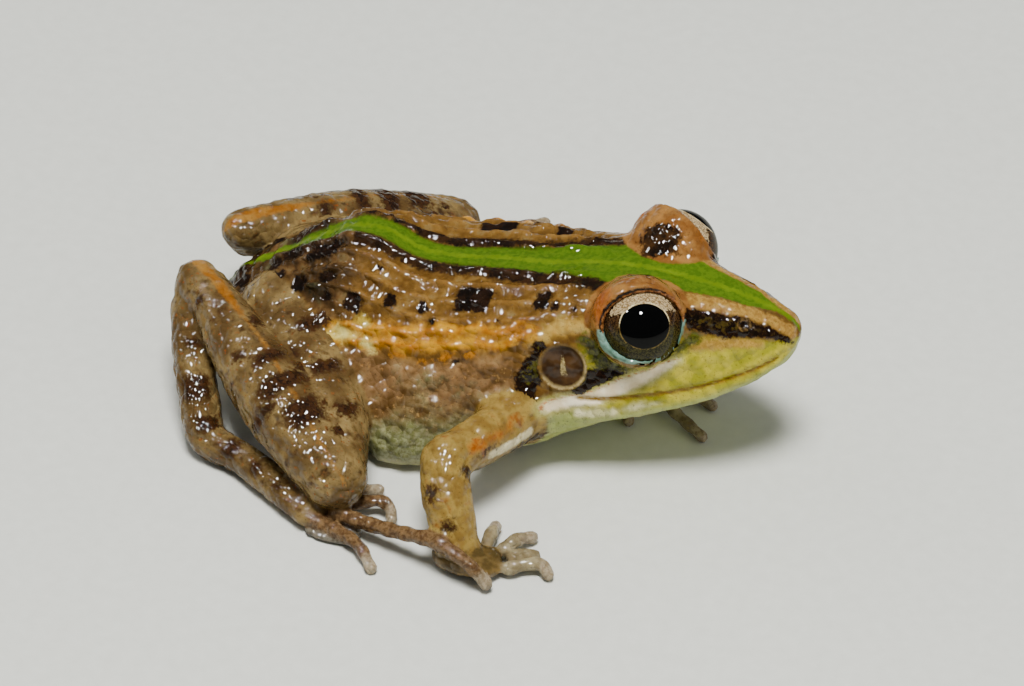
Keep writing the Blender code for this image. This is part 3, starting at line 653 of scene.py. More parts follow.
# %% Ridges, fold, mouth and warts
# A ridge's column, and the x of its front and rear end.
RIDGES = ((0.28, -14.5, -41.0), (0.52, -15.5, -40.0), (0.76, -16.5, -38.5), (1.00, -17.5, -37.5))
RIDGE_HEIGHT, RIDGE_WIDTH, RIDGE_FADE = 0.42, 0.27, 1.6
FOLD_PATH = ((-18.2, 1.12), (-20.7, 1.22), (-24.0, 1.18), (-27.5, 1.22), (-30.5, 1.32),
             (-32.7, 1.45), (-35.4, 1.60), (-37.5, 1.70))
# The fold is two rows of lumps: how far below its path each row lies, and its height.
FOLD_LINES = ((-0.50, 0.42), (0.50, 0.34))
FOLD_WIDTH = 0.36
MOUTH_COLUMN, MOUTH_FRONT, MOUTH_REAR = 1.90, -1.0, -15.8
MOUTH_DEPTH, LIP_HEIGHT = 0.22, 0.10
coarse, medium, fine = (lumps(skin_points, *kind) for kind in ((2.6, 1), (1.1, 2), (0.55, 3)))

ridge = np.zeros(len(x))
for number, (rail, front, rear) in enumerate(RIDGES):
    beads = np.sin(1.7 * x + 2.1 * number) + 0.8 * np.sin(3.1 * x + 1.3 * number * number)
    along = stretch(front, rear, RIDGE_FADE, RIDGE_FADE) * (0.45 + 0.55 * smoothstep(-0.9, 0.4, beads))
    ridge += along * bump(below(rail), 0, RIDGE_WIDTH)
fold_mm = below(track(FOLD_PATH)) + 0.12 * np.sin(1.9 * x)
fold = stretch(-17.6, -38.2, 1.4, 1.6)
fold *= sum(height * bump(fold_mm, line, FOLD_WIDTH) for line, height in FOLD_LINES)
fold *= 0.8 + 0.4 * np.sin(2.6 * x + 2 * np.sign(fold_mm)) + 0.4 * medium
mouth = stretch(MOUTH_FRONT, MOUTH_REAR, 0.8, 1.5)
from_mouth = below(MOUTH_COLUMN)
groove = bump(from_mouth, 0, 0.20) * mouth
lips = bump(from_mouth, -0.55, 0.35) + 0.6 * bump(from_mouth, 0.5, 0.3)
flank = smoothstep(1.25, 1.6, column) * smoothstep(-17.5, -20.5, x)
rump = smoothstep(-30.0, -35.0, x) * smoothstep(1.6, 1.2, column)
relief = RIDGE_HEIGHT * ridge + fold - MOUTH_DEPTH * groove + LIP_HEIGHT * lips * mouth
# Where the body's warts are, and the height in mm of the middling and of the fine ones there.
for area, middling, small in ((1.0, 0.04, 0.05), (flank, 0.15, 0.10), (rump, 0.16, 0.09)):
    relief += area * (middling * medium + small * fine)
relief *= shares["body"]
LIMB_WARTS = {"thigh": 0.10, "shank": 0.11, "tarsus": 0.10, "foot": 0.07, "upper_arm": 0.07,
              "forearm": 0.07, "hand": 0.06}
for kind, height in LIMB_WARTS.items():
    relief += height * shares[kind] * (0.6 * medium + 0.8 * fine)
print("relief from", round(float(relief.min()), 2), "to", round(float(relief.max()), 2), "mm")

# %% Eardrum, nostril and lids
NOWHERE = -9.0  # What a field says, in mm, where its mark can't be.
DRUM_CENTRE, DRUM_AXIS = np.array([-16.0, 6.7, 9.6]), unit(np.array([0.12, 0.94, 0.30]))
DRUM_RADIUS, DRUM_DEPTH, DRUM_RIM, DRUM_KNOB = 1.72, 0.20, 0.13, 0.10
NOSTRIL, NOSTRIL_DEPTH, NOSTRIL_RIM = np.array([-4.0, 2.2, 12.95]), 0.40, 0.06
LID_EDGE = 0.07
beside = np.stack([x, np.abs(y), z], 1)
drum_out, drum_x, drum_y = ((beside - DRUM_CENTRE) @ way for way in (DRUM_AXIS, *level_and_up(DRUM_AXIS)))
from_drum = np.where(np.abs(drum_out) < 2, np.hypot(drum_x, drum_y), -NOWHERE)
relief += DRUM_RIM * bump(from_drum, DRUM_RADIUS, 0.22) - DRUM_DEPTH * smoothstep(1.62, 1.38, from_drum)
relief += DRUM_KNOB * bump(from_drum, 0, 0.45)
from_nostril = np.linalg.norm(beside - NOSTRIL, axis=1)
relief += NOSTRIL_RIM * bump(from_nostril, 0.52, 0.2) - NOSTRIL_DEPTH * bump(from_nostril, 0, 0.30)
eye_ahead, eye_above, from_eye, from_lid = eye_angles(*beside.T, 1)
rim = -beyond_opening(eye_ahead, eye_above, from_eye)
lid = smoothstep(LID_RADIUS + 0.75, LID_RADIUS + 0.25, from_lid)
brow = lid * smoothstep(5, 20, eye_above)
relief *= smoothstep(LID_RADIUS - 0.05, LID_RADIUS + 0.6, from_lid)
relief += lid * (0.06 * fine + 0.05 * medium) * smoothstep(-0.15, -0.45, rim)
relief += LID_EDGE * bump(rim, -0.28, 0.13) * brow

moved = skin_points + skin_normals * relief[:, None]
moved[:, 2] = np.maximum(moved[:, 2], 0)
skin_piece.data.vertices.foreach_set("co", to_metres(moved).astype(np.float32).ravel())
skin_piece.data.update()

# %% [markdown]
# ## Where the markings lie
# Each marking is stored on the skin as a number: how far inside the mark a point lies, in
# millimetres, negative outside. The material later cuts it at zero, after stirring it with fine
# noise, so that an edge is as crisp or as frayed as on the real frog. A stripe is a band round a
# bent line, half its width less the distance to the line; a spot is a small rounded box. Shares in
# the parts of the body are stored too, and cut at a half.

# %% Bands and spots
def band(points, line, widths):
    """Half the band's width less the distance to its bent line, in mm."""
    best = np.full(len(points), NOWHERE)
    for a, b, wide_a, wide_b in zip(line[:-1], line[1:], widths[:-1], widths[1:]):
        step = b - a
        along = np.clip(((points - a) @ step) / (step @ step), 0, 1)
        gap = np.linalg.norm(points - a - along[:, None] * step, axis=1)
        best = np.maximum(best, wide_a + (wide_b - wide_a) * along - gap)
    return best


def body_band(marks, only_body=True):
    """A band on both sides of the body from (x, column, half width) marks."""
    line = np.array([on_body(place, rail) for place, rail, _ in marks])
    inside = band(beside, line, [mark[2] for mark in marks])
    return np.where(owner_is_body, inside, NOWHERE) if only_body else inside


def rounded_box(along, across, long, wide, corner=0.25):
    """How far inside a box with rounded corners, from its half length and half width."""
    over_x, over_y = np.abs(along) - long + corner, np.abs(across) - wide + corner
    outside = np.hypot(np.maximum(over_x, 0), np.maximum(over_y, 0))
    return corner - outside - np.minimum(np.maximum(over_x, over_y), 0)


owner_is_body = shares["body"] > 0.3

# %% The green stripe and its dark edges
# The stripe's half width at an x, and how far left of the middle of the head its middle lies.
GREEN = ((-0.6, -0.8), (-1.5, -0.3), (-2.4, 0.3), (-4.0, 0.95), (-6.0, 1.25), (-8.5, 1.8), (-11.0, 2.7),
         (-13.5, 2.5), (-15.4, 2.0), (-19.0, 1.6), (-24.0, 1.2), (-28.0, 1.05), (-31.0, 1.1), (-35.0, 0.8),
         (-38.0, 0.55), (-41.0, 0.4), (-43.5, 0.2))
MIDDLE = ((0.0, 0.1), (-2.0, 0.35), (-5.0, 0.35), (-9.0, 0.2), (-14.0, 0.0))
stripe_half = track(GREEN)
from_middle = np.abs(y - track(MIDDLE))
green = np.where(owner_is_body & (column < 1.2), stripe_half - from_middle, NOWHERE)
green = np.minimum(green, from_lid - LID_RADIUS - 0.20)
edge = 0.56 - np.abs(from_middle - stripe_half - 0.46) + 0.14 * coarse
edge -= 2.0 * smoothstep(-14.2, -12.8, x)
broken = smoothstep(-31.5, -33.0, x) * smoothstep(0.1, -0.5, np.sin(1.15 * x + 0.6))
edge = np.where(owner_is_body & (column < 1.1), edge - 1.5 * broken, NOWHERE)
middle_line = np.where(owner_is_body & (column < 0.5), 0.22 - from_middle, NOWHERE)

# %% Spots of the back
# A spot's x, column, half length and half width. On the left side all lie a little further back.
SPOTS = ((-23.4, 0.72, 1.35, 0.95), (-18.3, 0.72, 0.62, 0.72), (-17.2, 0.84, 0.35, 0.42),
         (-15.9, 0.92, 0.30, 0.30), (-27.0, 0.87, 0.45, 0.40), (-29.4, 0.92, 0.42, 0.50),
         (-32.3, 1.12, 0.75, 0.70), (-34.5, 1.14, 0.40, 0.45), (-34.8, 0.88, 0.75, 0.45),
         (-36.9, 0.95, 0.60, 0.60), (-35.4, 0.46, 1.20, 0.60), (-38.9, 0.80, 0.55, 0.55),
         (-40.6, 1.00, 0.55, 0.50), (-42.0, 0.66, 0.60, 0.55), (-39.5, 0.48, 0.60, 0.45),
         (-36.2, 1.35, 0.40, 0.35), (-38.5, 1.25, 0.50, 0.30), (-30.9, 0.62, 0.35, 0.25),
         (-23.6, 1.43, 0.62, 0.26), (-21.0, 0.98, 0.30, 0.14), (-25.9, 1.02, 0.30, 0.16))
LEFT_SHIFT = 0.9
frayed = 0.12 * medium + 0.08 * fine
spot_x = x + np.where(y > 0, LEFT_SHIFT, 0.0)
spots = np.full(len(x), NOWHERE)
for place, rail, long, wide in SPOTS:
    spots = np.maximum(spots, rounded_box(spot_x - place, below(rail), long, wide, 0.35))
spots = np.where(owner_is_body, spots, NOWHERE) + frayed

# %% The face
# Each row of a band is an x, a column and a half width. The canthus is the edge from eye to nostril.
CANTHAL = ((-8.4, 1.02, 0.45), (-7.4, 1.05, 0.75), (-6.4, 1.08, 0.85), (-5.2, 1.10, 0.85),
           (-3.9, 1.10, 0.72), (-2.6, 1.05, 0.50), (-1.3, 1.20, 0.38), (-0.75, 1.60, 0.25))
BEHIND_EYE = ((-11.5, 1.61, 0.10), (-12.6, 1.62, 0.42), (-13.9, 1.66, 0.72), (-14.7, 1.76, 0.60))
BEHIND_DRUM = ((-17.7, 1.40, 0.45), (-18.0, 1.54, 0.85), (-18.3, 1.74, 1.00), (-18.4, 1.93, 0.90))
OLIVE = ((-14.6, 1.30, 0.50), (-13.8, 1.40, 0.85), (-13.1, 1.53, 0.80), (-11.4, 1.56, 0.45),
         (-9.5, 1.50, 0.35), (-8.2, 1.40, 0.50), (-7.2, 1.29, 0.50))
TAN_CHEEK = ((-7.3, 1.40, 0.25), (-6.4, 1.37, 0.42), (-4.6, 1.34, 0.42), (-2.8, 1.36, 0.30))
LIP = ((-8.0, 1.52, 0.05), (-8.9, 1.57, 0.34), (-9.9, 1.66, 0.44), (-11.6, 1.74, 0.56), (-13.4, 1.87, 0.56),
       (-15.0, 1.95, 0.44), (-17.0, 2.06, 0.44), (-18.8, 2.16, 0.72), (-20.4, 2.26, 1.00))
TEMPLE = ((-18.4, 1.20, 0.35), (-17.2, 1.18, 0.55), (-15.8, 1.15, 0.60), (-14.4, 1.12, 0.45))
LOWER_LIP = ((-14.6, 2.19, 0.15), (-13.4, 2.17, 0.34), (-12.2, 2.14, 0.28), (-11.9, 2.12, -0.30),
             (-11.6, 2.12, -0.30), (-11.2, 2.10, 0.24), (-9.8, 2.08, 0.26), (-9.0, 2.06, 0.05))
CANTHAL_TAN = ((-8.0, 0.68, 0.60), (-5.7, 0.62, 0.55), (-3.5, 0.56, 0.55), (-1.7, 0.70, 0.55),
               (-0.8, 0.90, 0.50))
behind_drum = body_band(BEHIND_DRUM) + 0.25 * medium
canthal = body_band(CANTHAL)
dark = np.maximum(canthal, np.maximum(body_band(BEHIND_EYE), behind_drum))
olive, canthal_tan, temple = body_band(OLIVE), body_band(CANTHAL_TAN), body_band(TEMPLE)
tan_cheek, lower_lip = body_band(TAN_CHEEK), body_band(LOWER_LIP)
lip = body_band(LIP, only_body=False)
lip_edge = np.where(column < track(LIP), 0.07 - np.abs(lip), NOWHERE)
drum = DRUM_RADIUS - from_drum
drum_ring = np.minimum(drum, 0.15 + 0.4 * (drum_x - drum_y))
dark = np.minimum(dark, -drum - 0.05) + frayed
# The nostril's opening is painted near black too: painted shade inside its pit.
dark = np.maximum(dark, 0.30 - from_nostril)
behind_drum = np.minimum(behind_drum - 0.25, 0.2 - below(1.72))
nostril = 0.07 - np.abs(from_nostril - 0.42)


def lid_spot(way, radius, stretch=1.0):
    """A round or lengthwise oval spot on the lid, in a direction from the eye's centre."""
    gap = (beside - EYE_CENTRE - np.array(way) * (LID_RADIUS + 0.3)) / [stretch, 1, 1]
    return radius - np.linalg.norm(gap, axis=1)


lid_dark = lid_spot((-0.20, -0.66, 0.72), 1.25, 1.5) + 0.25 * medium
rust = np.maximum(lid_spot((-0.74, 0.30, 0.59), 1.15), lid_spot((0.62, -0.10, 0.78), 0.50)) + 0.45 * medium
rim_turn = np.degrees(np.arctan2(eye_above, eye_ahead)) % 360
rim_wide = np.interp(rim_turn, (0, 180, 200, 235, 270, 315, 360), (0.16, 0.22, 0.56, 0.58, 0.50, 0.34, 0.16))
rim_low = np.minimum(rim + rim_wide, (3 - eye_above) / 12)
rim_low = np.where(from_lid < LID_RADIUS + 0.6, rim_low, NOWHERE)
# Painted shade: the upper lid's inner wall, just inside the opening, is painted near black for the shadow
# under the lid's rim.
lid_rim_shade = np.minimum(rim + 0.06, eye_above / 12 + 0.3)
rim_band = np.minimum(0.10 - np.abs(from_eye - 3.17), lid_rim_shade)
mark = 0.18 - np.maximum(np.abs(drum_x + 0.12 * drum_y) * (1.15 + 0.5 * drum_y), np.abs(drum_y) * 0.30)
jaw = smoothstep(1.15, 1.45, column) * smoothstep(-16.5, -13.0, x)
# The throat carries a green tint and some darkening that are not its own cream-white: painted green
# reflected light and painted shade.
throat = smoothstep(1.9, 2.5, column) * smoothstep(-20.0, -16.5, x)
underside = smoothstep(2.35, 3.1, column)

# %% Fold, flank and belly
YELLOW = ((-18.6, 1.14, 0.45), (-20.7, 1.20, 0.75), (-24.0, 1.18, 0.85), (-27.5, 1.24, 0.95),
          (-30.5, 1.32, 0.95), (-32.7, 1.45, 0.80), (-35.3, 1.60, 0.45))
CREAM = (((-36.0, 1.64, 0.40), (-35.0, 1.59, 0.45), (-33.9, 1.53, 0.25), (-32.7, 1.45, 0.70),
          (-31.6, 1.40, 0.25)),
         ((-31.3, 1.24, 0.35), (-30.9, 1.25, 0.30)), ((-30.6, 1.40, 0.35), (-30.1, 1.42, 0.25)))
yellow = body_band(YELLOW) + 0.15 * coarse
fold_line = np.where(owner_is_body, 0.30 - np.abs(np.abs(fold_mm) - 0.5), NOWHERE)
fold_line = np.minimum(fold_line, np.minimum((-18.9 - x) / 3, (x + 34.0) / 3))
cream = np.maximum.reduce([body_band(marks) for marks in CREAM])
# The lower sides and belly are coloured darker and more olive-green than their own pale cream: painted shade
# and painted green reflected light.
belly = smoothstep(1.45, 2.50, column + 0.22 * coarse + 0.16 * medium) * shares["body"]
FLECKS = ((-18.4, 1.14, 0.22), (-19.5, 1.15, 0.28), (-22.7, 1.37, 0.25), (-24.3, 1.38, 0.28),
          (-25.9, 1.40, 0.20), (-28.1, 1.38, 0.25))
flecks = np.maximum.reduce([body_band(((place - 0.3, rail, radius), (place + 0.3, rail, radius)))
                            for place, rail, radius in FLECKS])

# %% Blotches of the limbs
# A blotch's share of the way along the part, its degrees round it, its half length and half width.
LIMB_SPOTS = {
    "shank": ((0.49, 88, 0.50, 1.00), (0.36, 94, 0.72, 1.50), (0.21, 96, 0.95, 1.10),
              (0.56, 128, 0.35, 0.45), (0.30, 152, 0.40, 0.95), (0.87, 140, 0.35, 0.50),
              (0.67, 60, 0.40, 0.60), (0.40, 40, 0.50, 0.90), (0.10, 60, 0.45, 0.60),
              (0.22, 40, 0.40, 0.70), (0.78, 110, 0.25, 0.35)),
    "thigh": ((0.30, 100, 0.50, 0.90), (0.55, 95, 0.55, 0.90), (0.80, 110, 0.55, 0.80),
              (0.42, 50, 0.45, 0.70)),
    "tarsus": ((0.70, 78, 0.85, 0.95), (0.98, 105, 0.60, 0.95), (0.35, 95, 0.40, 0.60)),
    "foot": ((0.21, 62, 0.55, 0.80), (0.49, 55, 0.32, 0.55), (0.72, 55, 0.28, 0.45)),
    "forearm": ((0.38, 42, 0.45, 0.50), (0.80, 60, 0.35, 0.40), (0.15, 150, 0.4, 0.5)),
    "upper_arm": ((0.75, 30, 0.35, 0.40), (0.36, 209, 1.5, 0.30), (0.76, 166, 0.8, 0.13)),
}
BLOTCH_SWELL = 1.15
# The orange line on the shank: shares of the way along it, degrees round it, and half width in mm.
LINE_TURN = ((0.0, 0.2, 0.4, 0.6, 1.0), (105, 98, 90, 80, 78))
LINE_HALF = ((0.0, 0.15, 0.7, 0.82, 1.0), (0.05, 0.11, 0.12, 0.45, 0.75))
limb_dark, orange_line, pale_streak, arm_orange = np.full((4, len(x)), NOWHERE)
tip = np.zeros(len(x))


def round_mm(mine, angle, radius):
    """How far round a limb its points lie from an angle, the shorter way, in mm."""
    return np.radians((limb_turn[mine] - angle + 180) % 360 - 180) * radius


for number, (name, (points, sizes)) in enumerate(LIMBS.items()):
    kind = kind_of(name)
    mine = owner == number
    along, length, radius = limb_along[mine], tube_path(points, sizes)[0][-1], sizes.mean()
    for share, angle, long, wide in LIMB_SPOTS.get(kind, ()):
        inside = rounded_box(along - share * length, round_mm(mine, angle, radius),
                             BLOTCH_SWELL * long, BLOTCH_SWELL * wide, 0.4)
        limb_dark[mine] = np.maximum(limb_dark[mine], inside)
    if kind == "shank":
        turn_there, half = (np.interp(along / length, *table) for table in (LINE_TURN, LINE_HALF))
        orange_line[mine] = half - np.abs(round_mm(mine, turn_there, radius))
    if kind == "upper_arm":
        for field, angle, middle, half in ((pale_streak, 182, 0.55, 0.38), (arm_orange, 142, 0.72, 0.50)):
            field[mine] = rounded_box(along - middle * length, round_mm(mine, angle, radius),
                                      0.23 * length, half, 0.3)
    if kind in ("toe", "finger"):
        tip[mine] = smoothstep(length - 1.6, length - 0.3, along)
limb_dark += frayed
print("limb marks cover", round(float((limb_dark > 0).mean()), 3), "of the skin")

# %% Storing the numbers on the skin
trunk_only = {"jaw": jaw, "throat": throat, "underside": underside, "rump": rump, "flank": flank,
              "ridge": ridge}
fields = {name: values * shares["body"] for name, values in trunk_only.items()}
fields.update({
    "leg": shares["thigh"] + shares["shank"] + shares["tarsus"] + shares["foot"],
    "arm": shares["upper_arm"] + shares["forearm"] + shares["hand"], "hand": shares["hand"],
    "digit": shares["toe"] + shares["finger"] + shares["web"], "finger": shares["finger"],
    "web": shares["web"], "tip": tip, "green": green, "middle_line": middle_line, "edge": edge,
    "spots": spots, "dark": dark, "canthal": canthal, "canthal_tan": canthal_tan, "temple": temple,
    "tan_cheek": tan_cheek, "olive": olive, "behind_drum": behind_drum, "drum": drum,
    "drum_ring": drum_ring, "mark": mark, "lip": lip, "lip_edge": lip_edge, "lower_lip": lower_lip,
    "groove": groove, "nostril": nostril, "lid": lid * smoothstep(-5, 12, eye_above),
    "lid_dark": lid_dark, "rust": rust, "rim_low": rim_low, "lid_rim_shade": lid_rim_shade, "rim_band": rim_band,
    "yellow": yellow, "fold_line": fold_line, "cream": cream, "flecks": flecks, "belly": belly,
    "limb_dark": limb_dark, "orange_line": orange_line, "pale_streak": pale_streak,
    "arm_orange": arm_orange})
store(skin_piece.data, fields)
print(len(fields), "fields stored")

# %% [markdown]
# ## The skin's finish
# Frog skin is thin, wet and a little see-through: colour cells lie under a clear outer layer, and a
# film of water covers it. So the material is a Principled shader with the colour underneath, a
# little subsurface light, a middling roughness for the skin and a clear smooth coat for the water.
# The small warts break the coat's reflection into the rows of sparks that a wet frog shows.

# %% Colours and the node helper
def linear(code):
    """An sRGB hex colour as the linear numbers that Blender's sockets take."""
    values = np.array([int(code[k:k + 2], 16) for k in (1, 3, 5)]) / 255
    values = np.where(values <= 0.04045, values / 12.92, ((values + 0.055) / 1.055) ** 2.4)
    return (*values.tolist(), 1.0)


def add(tree, kind, links=None, sockets=None, **settings):
    """One node with its properties, its sockets' values and the links into it."""
    node = tree.nodes.new("ShaderNode" + kind)
    for name, value in settings.items():
        setattr(node, name, value)
    for key, value in (sockets or {}).items():
        node.inputs[key].default_value = value
    for key, socket in (links or {}).items():
        tree.links.new(socket, node.inputs[key])
    return node


def new_material(name, values):
    """A Principled material, its even values set on the shader's own sockets."""
    material = bpy.data.materials.new(name)
    material.use_nodes = True
    shader = material.node_tree.nodes["Principled BSDF"]
    for socket, value in values.items():
        shader.inputs[socket].default_value = value
    return material, material.node_tree, shader


def glaze(tree, ground, sizes, layers):
    """Colour from a table of layers laid over a ground of two tones.

    Noises of several sizes in mm fray the edges, from -1 to 1, and mix each layer's two tones. The
    colour comes back with the place on the object, the fraying noises and each field's mask.
    """
    place = add(tree, "TexCoord").outputs["Object"]
    stir, blend, masks = {}, {}, {}
    for name, size in sizes.items():
        node = add(tree, "TexNoise", {"Vector": place},
                   {"Scale": 1 / (size * MM), "Detail": 2.5, "Roughness": 0.6})
        stir[name] = add(tree, "MapRange", {"Value": node.outputs["Fac"]}, {
            "From Min": 0.25, "From Max": 0.75, "To Min": -1.0, "To Max": 1.0}, clamp=False).outputs[0]
        blend[name] = add(tree, "MapRange", {"Value": node.outputs["Fac"]}, {
            "From Min": 0.36, "From Max": 0.64}, interpolation_type="SMOOTHSTEP").outputs[0]
    first, second, between = ground
    colour = add(tree, "Mix", {0: blend[between]}, {6: linear(first), 7: linear(second)},
                 data_type="RGBA").outputs[2]
    for field, middle, soft, fray, amount, first, second, between in layers:
        stored = add(tree, "Attribute", attribute_name=field).outputs["Fac"]
        stirred = add(tree, "Math", {0: stir[fray], 2: stored}, {1: amount},
                      operation="MULTIPLY_ADD").outputs[0]
        mask = add(tree, "MapRange", {"Value": stirred},
                   {"From Min": middle - soft, "From Max": middle + soft},
                   interpolation_type="SMOOTHSTEP").outputs[0]
        tones = add(tree, "Mix", {0: blend[between]}, {6: linear(first), 7: linear(second)},
                    data_type="RGBA").outputs[2]
        colour = add(tree, "Mix", {0: mask, 6: colour, 7: tones}, data_type="RGBA").outputs[2]
        masks[field] = mask
    return colour, place, stir, masks


# %% [markdown]
# The colours go on in layers, like glazes. Each layer has the field that says where it lies, how
# soft its edge is, how far noise frays the edge, and two tones that another noise mixes, because no
# patch of living skin has a single tone. The table is read from the bottom layer upwards.

# %% Colour layers
# Field, middle and half width of its edge, noise that frays it and how far, two tones, their noise.
LAYERS = (
    ("ridge", 0.45, 0.35, "speck", 0.20, "#6a4b1f", "#7c5a28", "mottle"),
    ("temple", 0.0, 0.50, "mottle", 0.30, "#a07c34", "#b4954c", "mottle"),
    ("rump", 0.5, 0.45, "mottle", 0.25, "#2c1e0d", "#5f4424", "mottle"),
    ("rump", 1.14, 0.25, "blotch", 0.60, "#18140a", "#2c2110", "speck"),
    ("flank", 0.5, 0.45, "mottle", 0.25, "#583f20", "#866540", "mottle"),
    ("flank", 1.18, 0.25, "mottle", 0.40, "#463018", "#5a4028", "speck"),
    ("flank", 1.28, 0.15, "speck", 0.55, "#9c783e", "#8a6236", "cloud"),
    # Both belly layers: painted shade and painted green reflected light over a belly that is pale cream.
    ("belly", 0.5, 0.50, "mottle", 0.35, "#66683c", "#80805a", "speck"),
    ("belly", 1.25, 0.30, "speck", 0.40, "#8e9068", "#84865c", "mottle"),
    ("underside", 0.5, 0.45, "mottle", 0.20, "#9c986c", "#aeaa82", "cloud"),
    ("jaw", 0.5, 0.45, "speck", 0.10, "#86821a", "#aca030", "mottle"),
    # Throat: cream-white with painted green reflected light and painted shade.
    ("throat", 0.5, 0.50, "speck", 0.05, "#a6aa66", "#98a054", "cloud"),
    ("leg", 0.5, 0.30, "speck", 0.10, "#4c391d", "#7e693f", "blotch"),
    ("leg", 1.16, 0.25, "mottle", 0.45, "#2f1f0e", "#483118", "speck"),
    ("leg", 1.35, 0.12, "speck", 0.55, "#7a3e12", "#6c421c", "mottle"),
    ("arm", 0.5, 0.30, "speck", 0.10, "#725826", "#8e763a", "mottle"),
    ("arm", 1.30, 0.20, "mottle", 0.45, "#7e4210", "#704418", "speck"),
    ("hand", 0.5, 0.30, "speck", 0.30, "#44361a", "#6a552e", "mottle"),
    ("digit", 0.5, 0.30, "speck", 0.10, "#4c3620", "#6e5536", "speck"),
    ("finger", 0.5, 0.40, "speck", 0.20, "#6a5c40", "#8e8262", "mottle"),
    ("web", 0.5, 0.30, "speck", 0.10, "#4c463a", "#6a6456", "speck"),
    ("yellow", 0.0, 0.50, "mottle", 0.40, "#89580d", "#966b22", "speck"),
    ("fold_line", 0.0, 0.25, "mottle", 0.30, "#9c5c04", "#b8841a", "mottle"),
    ("flecks", 0.05, 0.20, "speck", 0.30, "#824c0a", "#9a6418", "speck"),
    ("cream", 0.0, 0.42, "speck", 0.25, "#a88c30", "#d0c070", "mottle"),
    ("canthal_tan", 0.0, 0.20, "speck", 0.15, "#84602a", "#9a7836", "speck"),
    ("tan_cheek", 0.0, 0.25, "speck", 0.15, "#8a6a2a", "#a08038", "speck"),
    ("olive", 0.0, 0.34, "speck", 0.35, "#24230a", "#4a4c10", "speck"),
    ("green", 0.0, 0.14, "speck", 0.14, "#3c570b", "#4a630d", "speck"),
    ("middle_line", 0.0, 0.16, "speck", 0.12, "#52690a", "#5c7210", "mottle"),
    ("edge", 0.0, 0.28, "speck", 0.25, "#150c05", "#2e1c0c", "mottle"),
    ("lid", 0.5, 0.30, "speck", 0.10, "#70471d", "#8e6432", "mottle"),
    ("lip", -0.26, 0.34, "speck", 0.10, "#a09a52", "#b0a860", "mottle"),
    ("lip", 0.04, 0.24, "speck", 0.10, "#e4d0a6", "#f4e6c6", "mottle"),
    ("lip_edge", 0.0, 0.06, "grain", 0.03, "#a87040", "#b88454", "speck"),
    ("lower_lip", 0.0, 0.30, "mottle", 0.25, "#c6c088", "#dcd4a4", "mottle"),
    ("groove", 0.55, 0.40, "speck", 0.15, "#78580f", "#8a6a1c", "speck"),
    ("orange_line", 0.03, 0.22, "speck", 0.15, "#7e4c10", "#8e662c", "mottle"),
    ("arm_orange", 0.18, 0.45, "mottle", 0.40, "#86440c", "#94601e", "speck"),
    ("pale_streak", 0.0, 0.15, "speck", 0.08, "#c2b488", "#d4c8a0", "speck"),
    ("limb_dark", 0.0, 0.32, "speck", 0.42, "#1c1008", "#38220f", "speck"),
    ("spots", 0.0, 0.15, "speck", 0.18, "#0b0603", "#1e1108", "mottle"),
    # Dark markings of the face, plus painted shade in the nostril's opening.
    ("dark", 0.0, 0.16, "speck", 0.22, "#0c0602", "#1e0f04", "speck"),
    ("canthal", 0.72, 0.25, "speck", 0.60, "#2a210b", "#40340f", "mottle"),
    ("behind_drum", 0.45, 0.30, "speck", 0.75, "#30300c", "#4a4612", "mottle"),
    ("drum", 0.0, 0.10, "speck", 0.05, "#54401e", "#6a5228", "speck"),
    ("drum_ring", 0.0, 0.12, "speck", 0.05, "#8a7648", "#a49060", "speck"),
    ("drum", 0.17, 0.12, "speck", 0.05, "#2c1c0c", "#463018", "mottle"),
    ("mark", 0.0, 0.08, "grain", 0.05, "#8a7a4c", "#aa9864", "grain"),
    ("tip", 0.5, 0.35, "speck", 0.10, "#7a6a50", "#988a70", "speck"),
    ("rust", 0.05, 0.70, "speck", 0.40, "#863e0c", "#935420", "speck"),
    ("lid_dark", 0.0, 0.25, "speck", 0.35, "#140c05", "#3c2610", "mottle"),
    ("nostril", 0.0, 0.08, "grain", 0.04, "#54401f", "#7c6034", "speck"),
    ("rim_low", 0.0, 0.12, "speck", 0.10, "#3c5e4a", "#6e8e7e", "mottle"),
    # Painted shade on the upper lid's inner wall. The orange-brown band after it is the lid edge's own
    # colour.
    ("lid_rim_shade", 0.0, 0.04, "speck", 0.02, "#0c0705", "#1a0f09", "speck"),
    ("rim_band", 0.0, 0.05, "speck", 0.05, "#6e3c16", "#9a6436", "speck"),
)
skin_material, tree, shader = new_material("wet_frog_skin", {
    "Roughness": 0.5, "IOR": 1.4, "Specular IOR Level": 0.0, "Coat Weight": 0.6, "Coat IOR": 1.45,
    "Coat Roughness": 0.045, "Subsurface Weight": 0.05, "Subsurface Radius": (1.0, 0.5, 0.25),
    "Subsurface Scale": 0.0006})
colour, place, stir, masks = glaze(
    tree, ("#543a15", "#705122", "mottle"),
    {"grain": 0.15, "speck": 0.36, "mottle": 1.2, "blotch": 2.4, "cloud": 4.5}, LAYERS)
print(len(LAYERS), "colour layers")

# %% Fine dots
# Real skin carries tiny dark dots, nearly too fine to see; these are drawn about 0.15 mm wide.
dots = add(tree, "MapRange", {"Value": stir["grain"]}, {"From Min": 0.25, "From Max": 0.9, "To Max": 0.5},
           interpolation_type="SMOOTHSTEP").outputs[0]
even_parts = masks["lip"]
for field in ("green", "drum", "behind_drum"):
    even_parts = add(tree, "Math", {0: even_parts, 1: masks[field]}, operation="MAXIMUM").outputs[0]
plain = add(tree, "MapRange", {"Value": even_parts}, {"To Min": 1.0, "To Max": 0.25}).outputs[0]
dots = add(tree, "Math", {0: dots, 1: plain}, operation="MULTIPLY").outputs[0]
colour = add(tree, "Mix", {0: dots, 6: colour}, {7: linear("#2a1a10")}, data_type="RGBA").outputs[2]
tree.links.new(colour, shader.inputs["Base Color"])

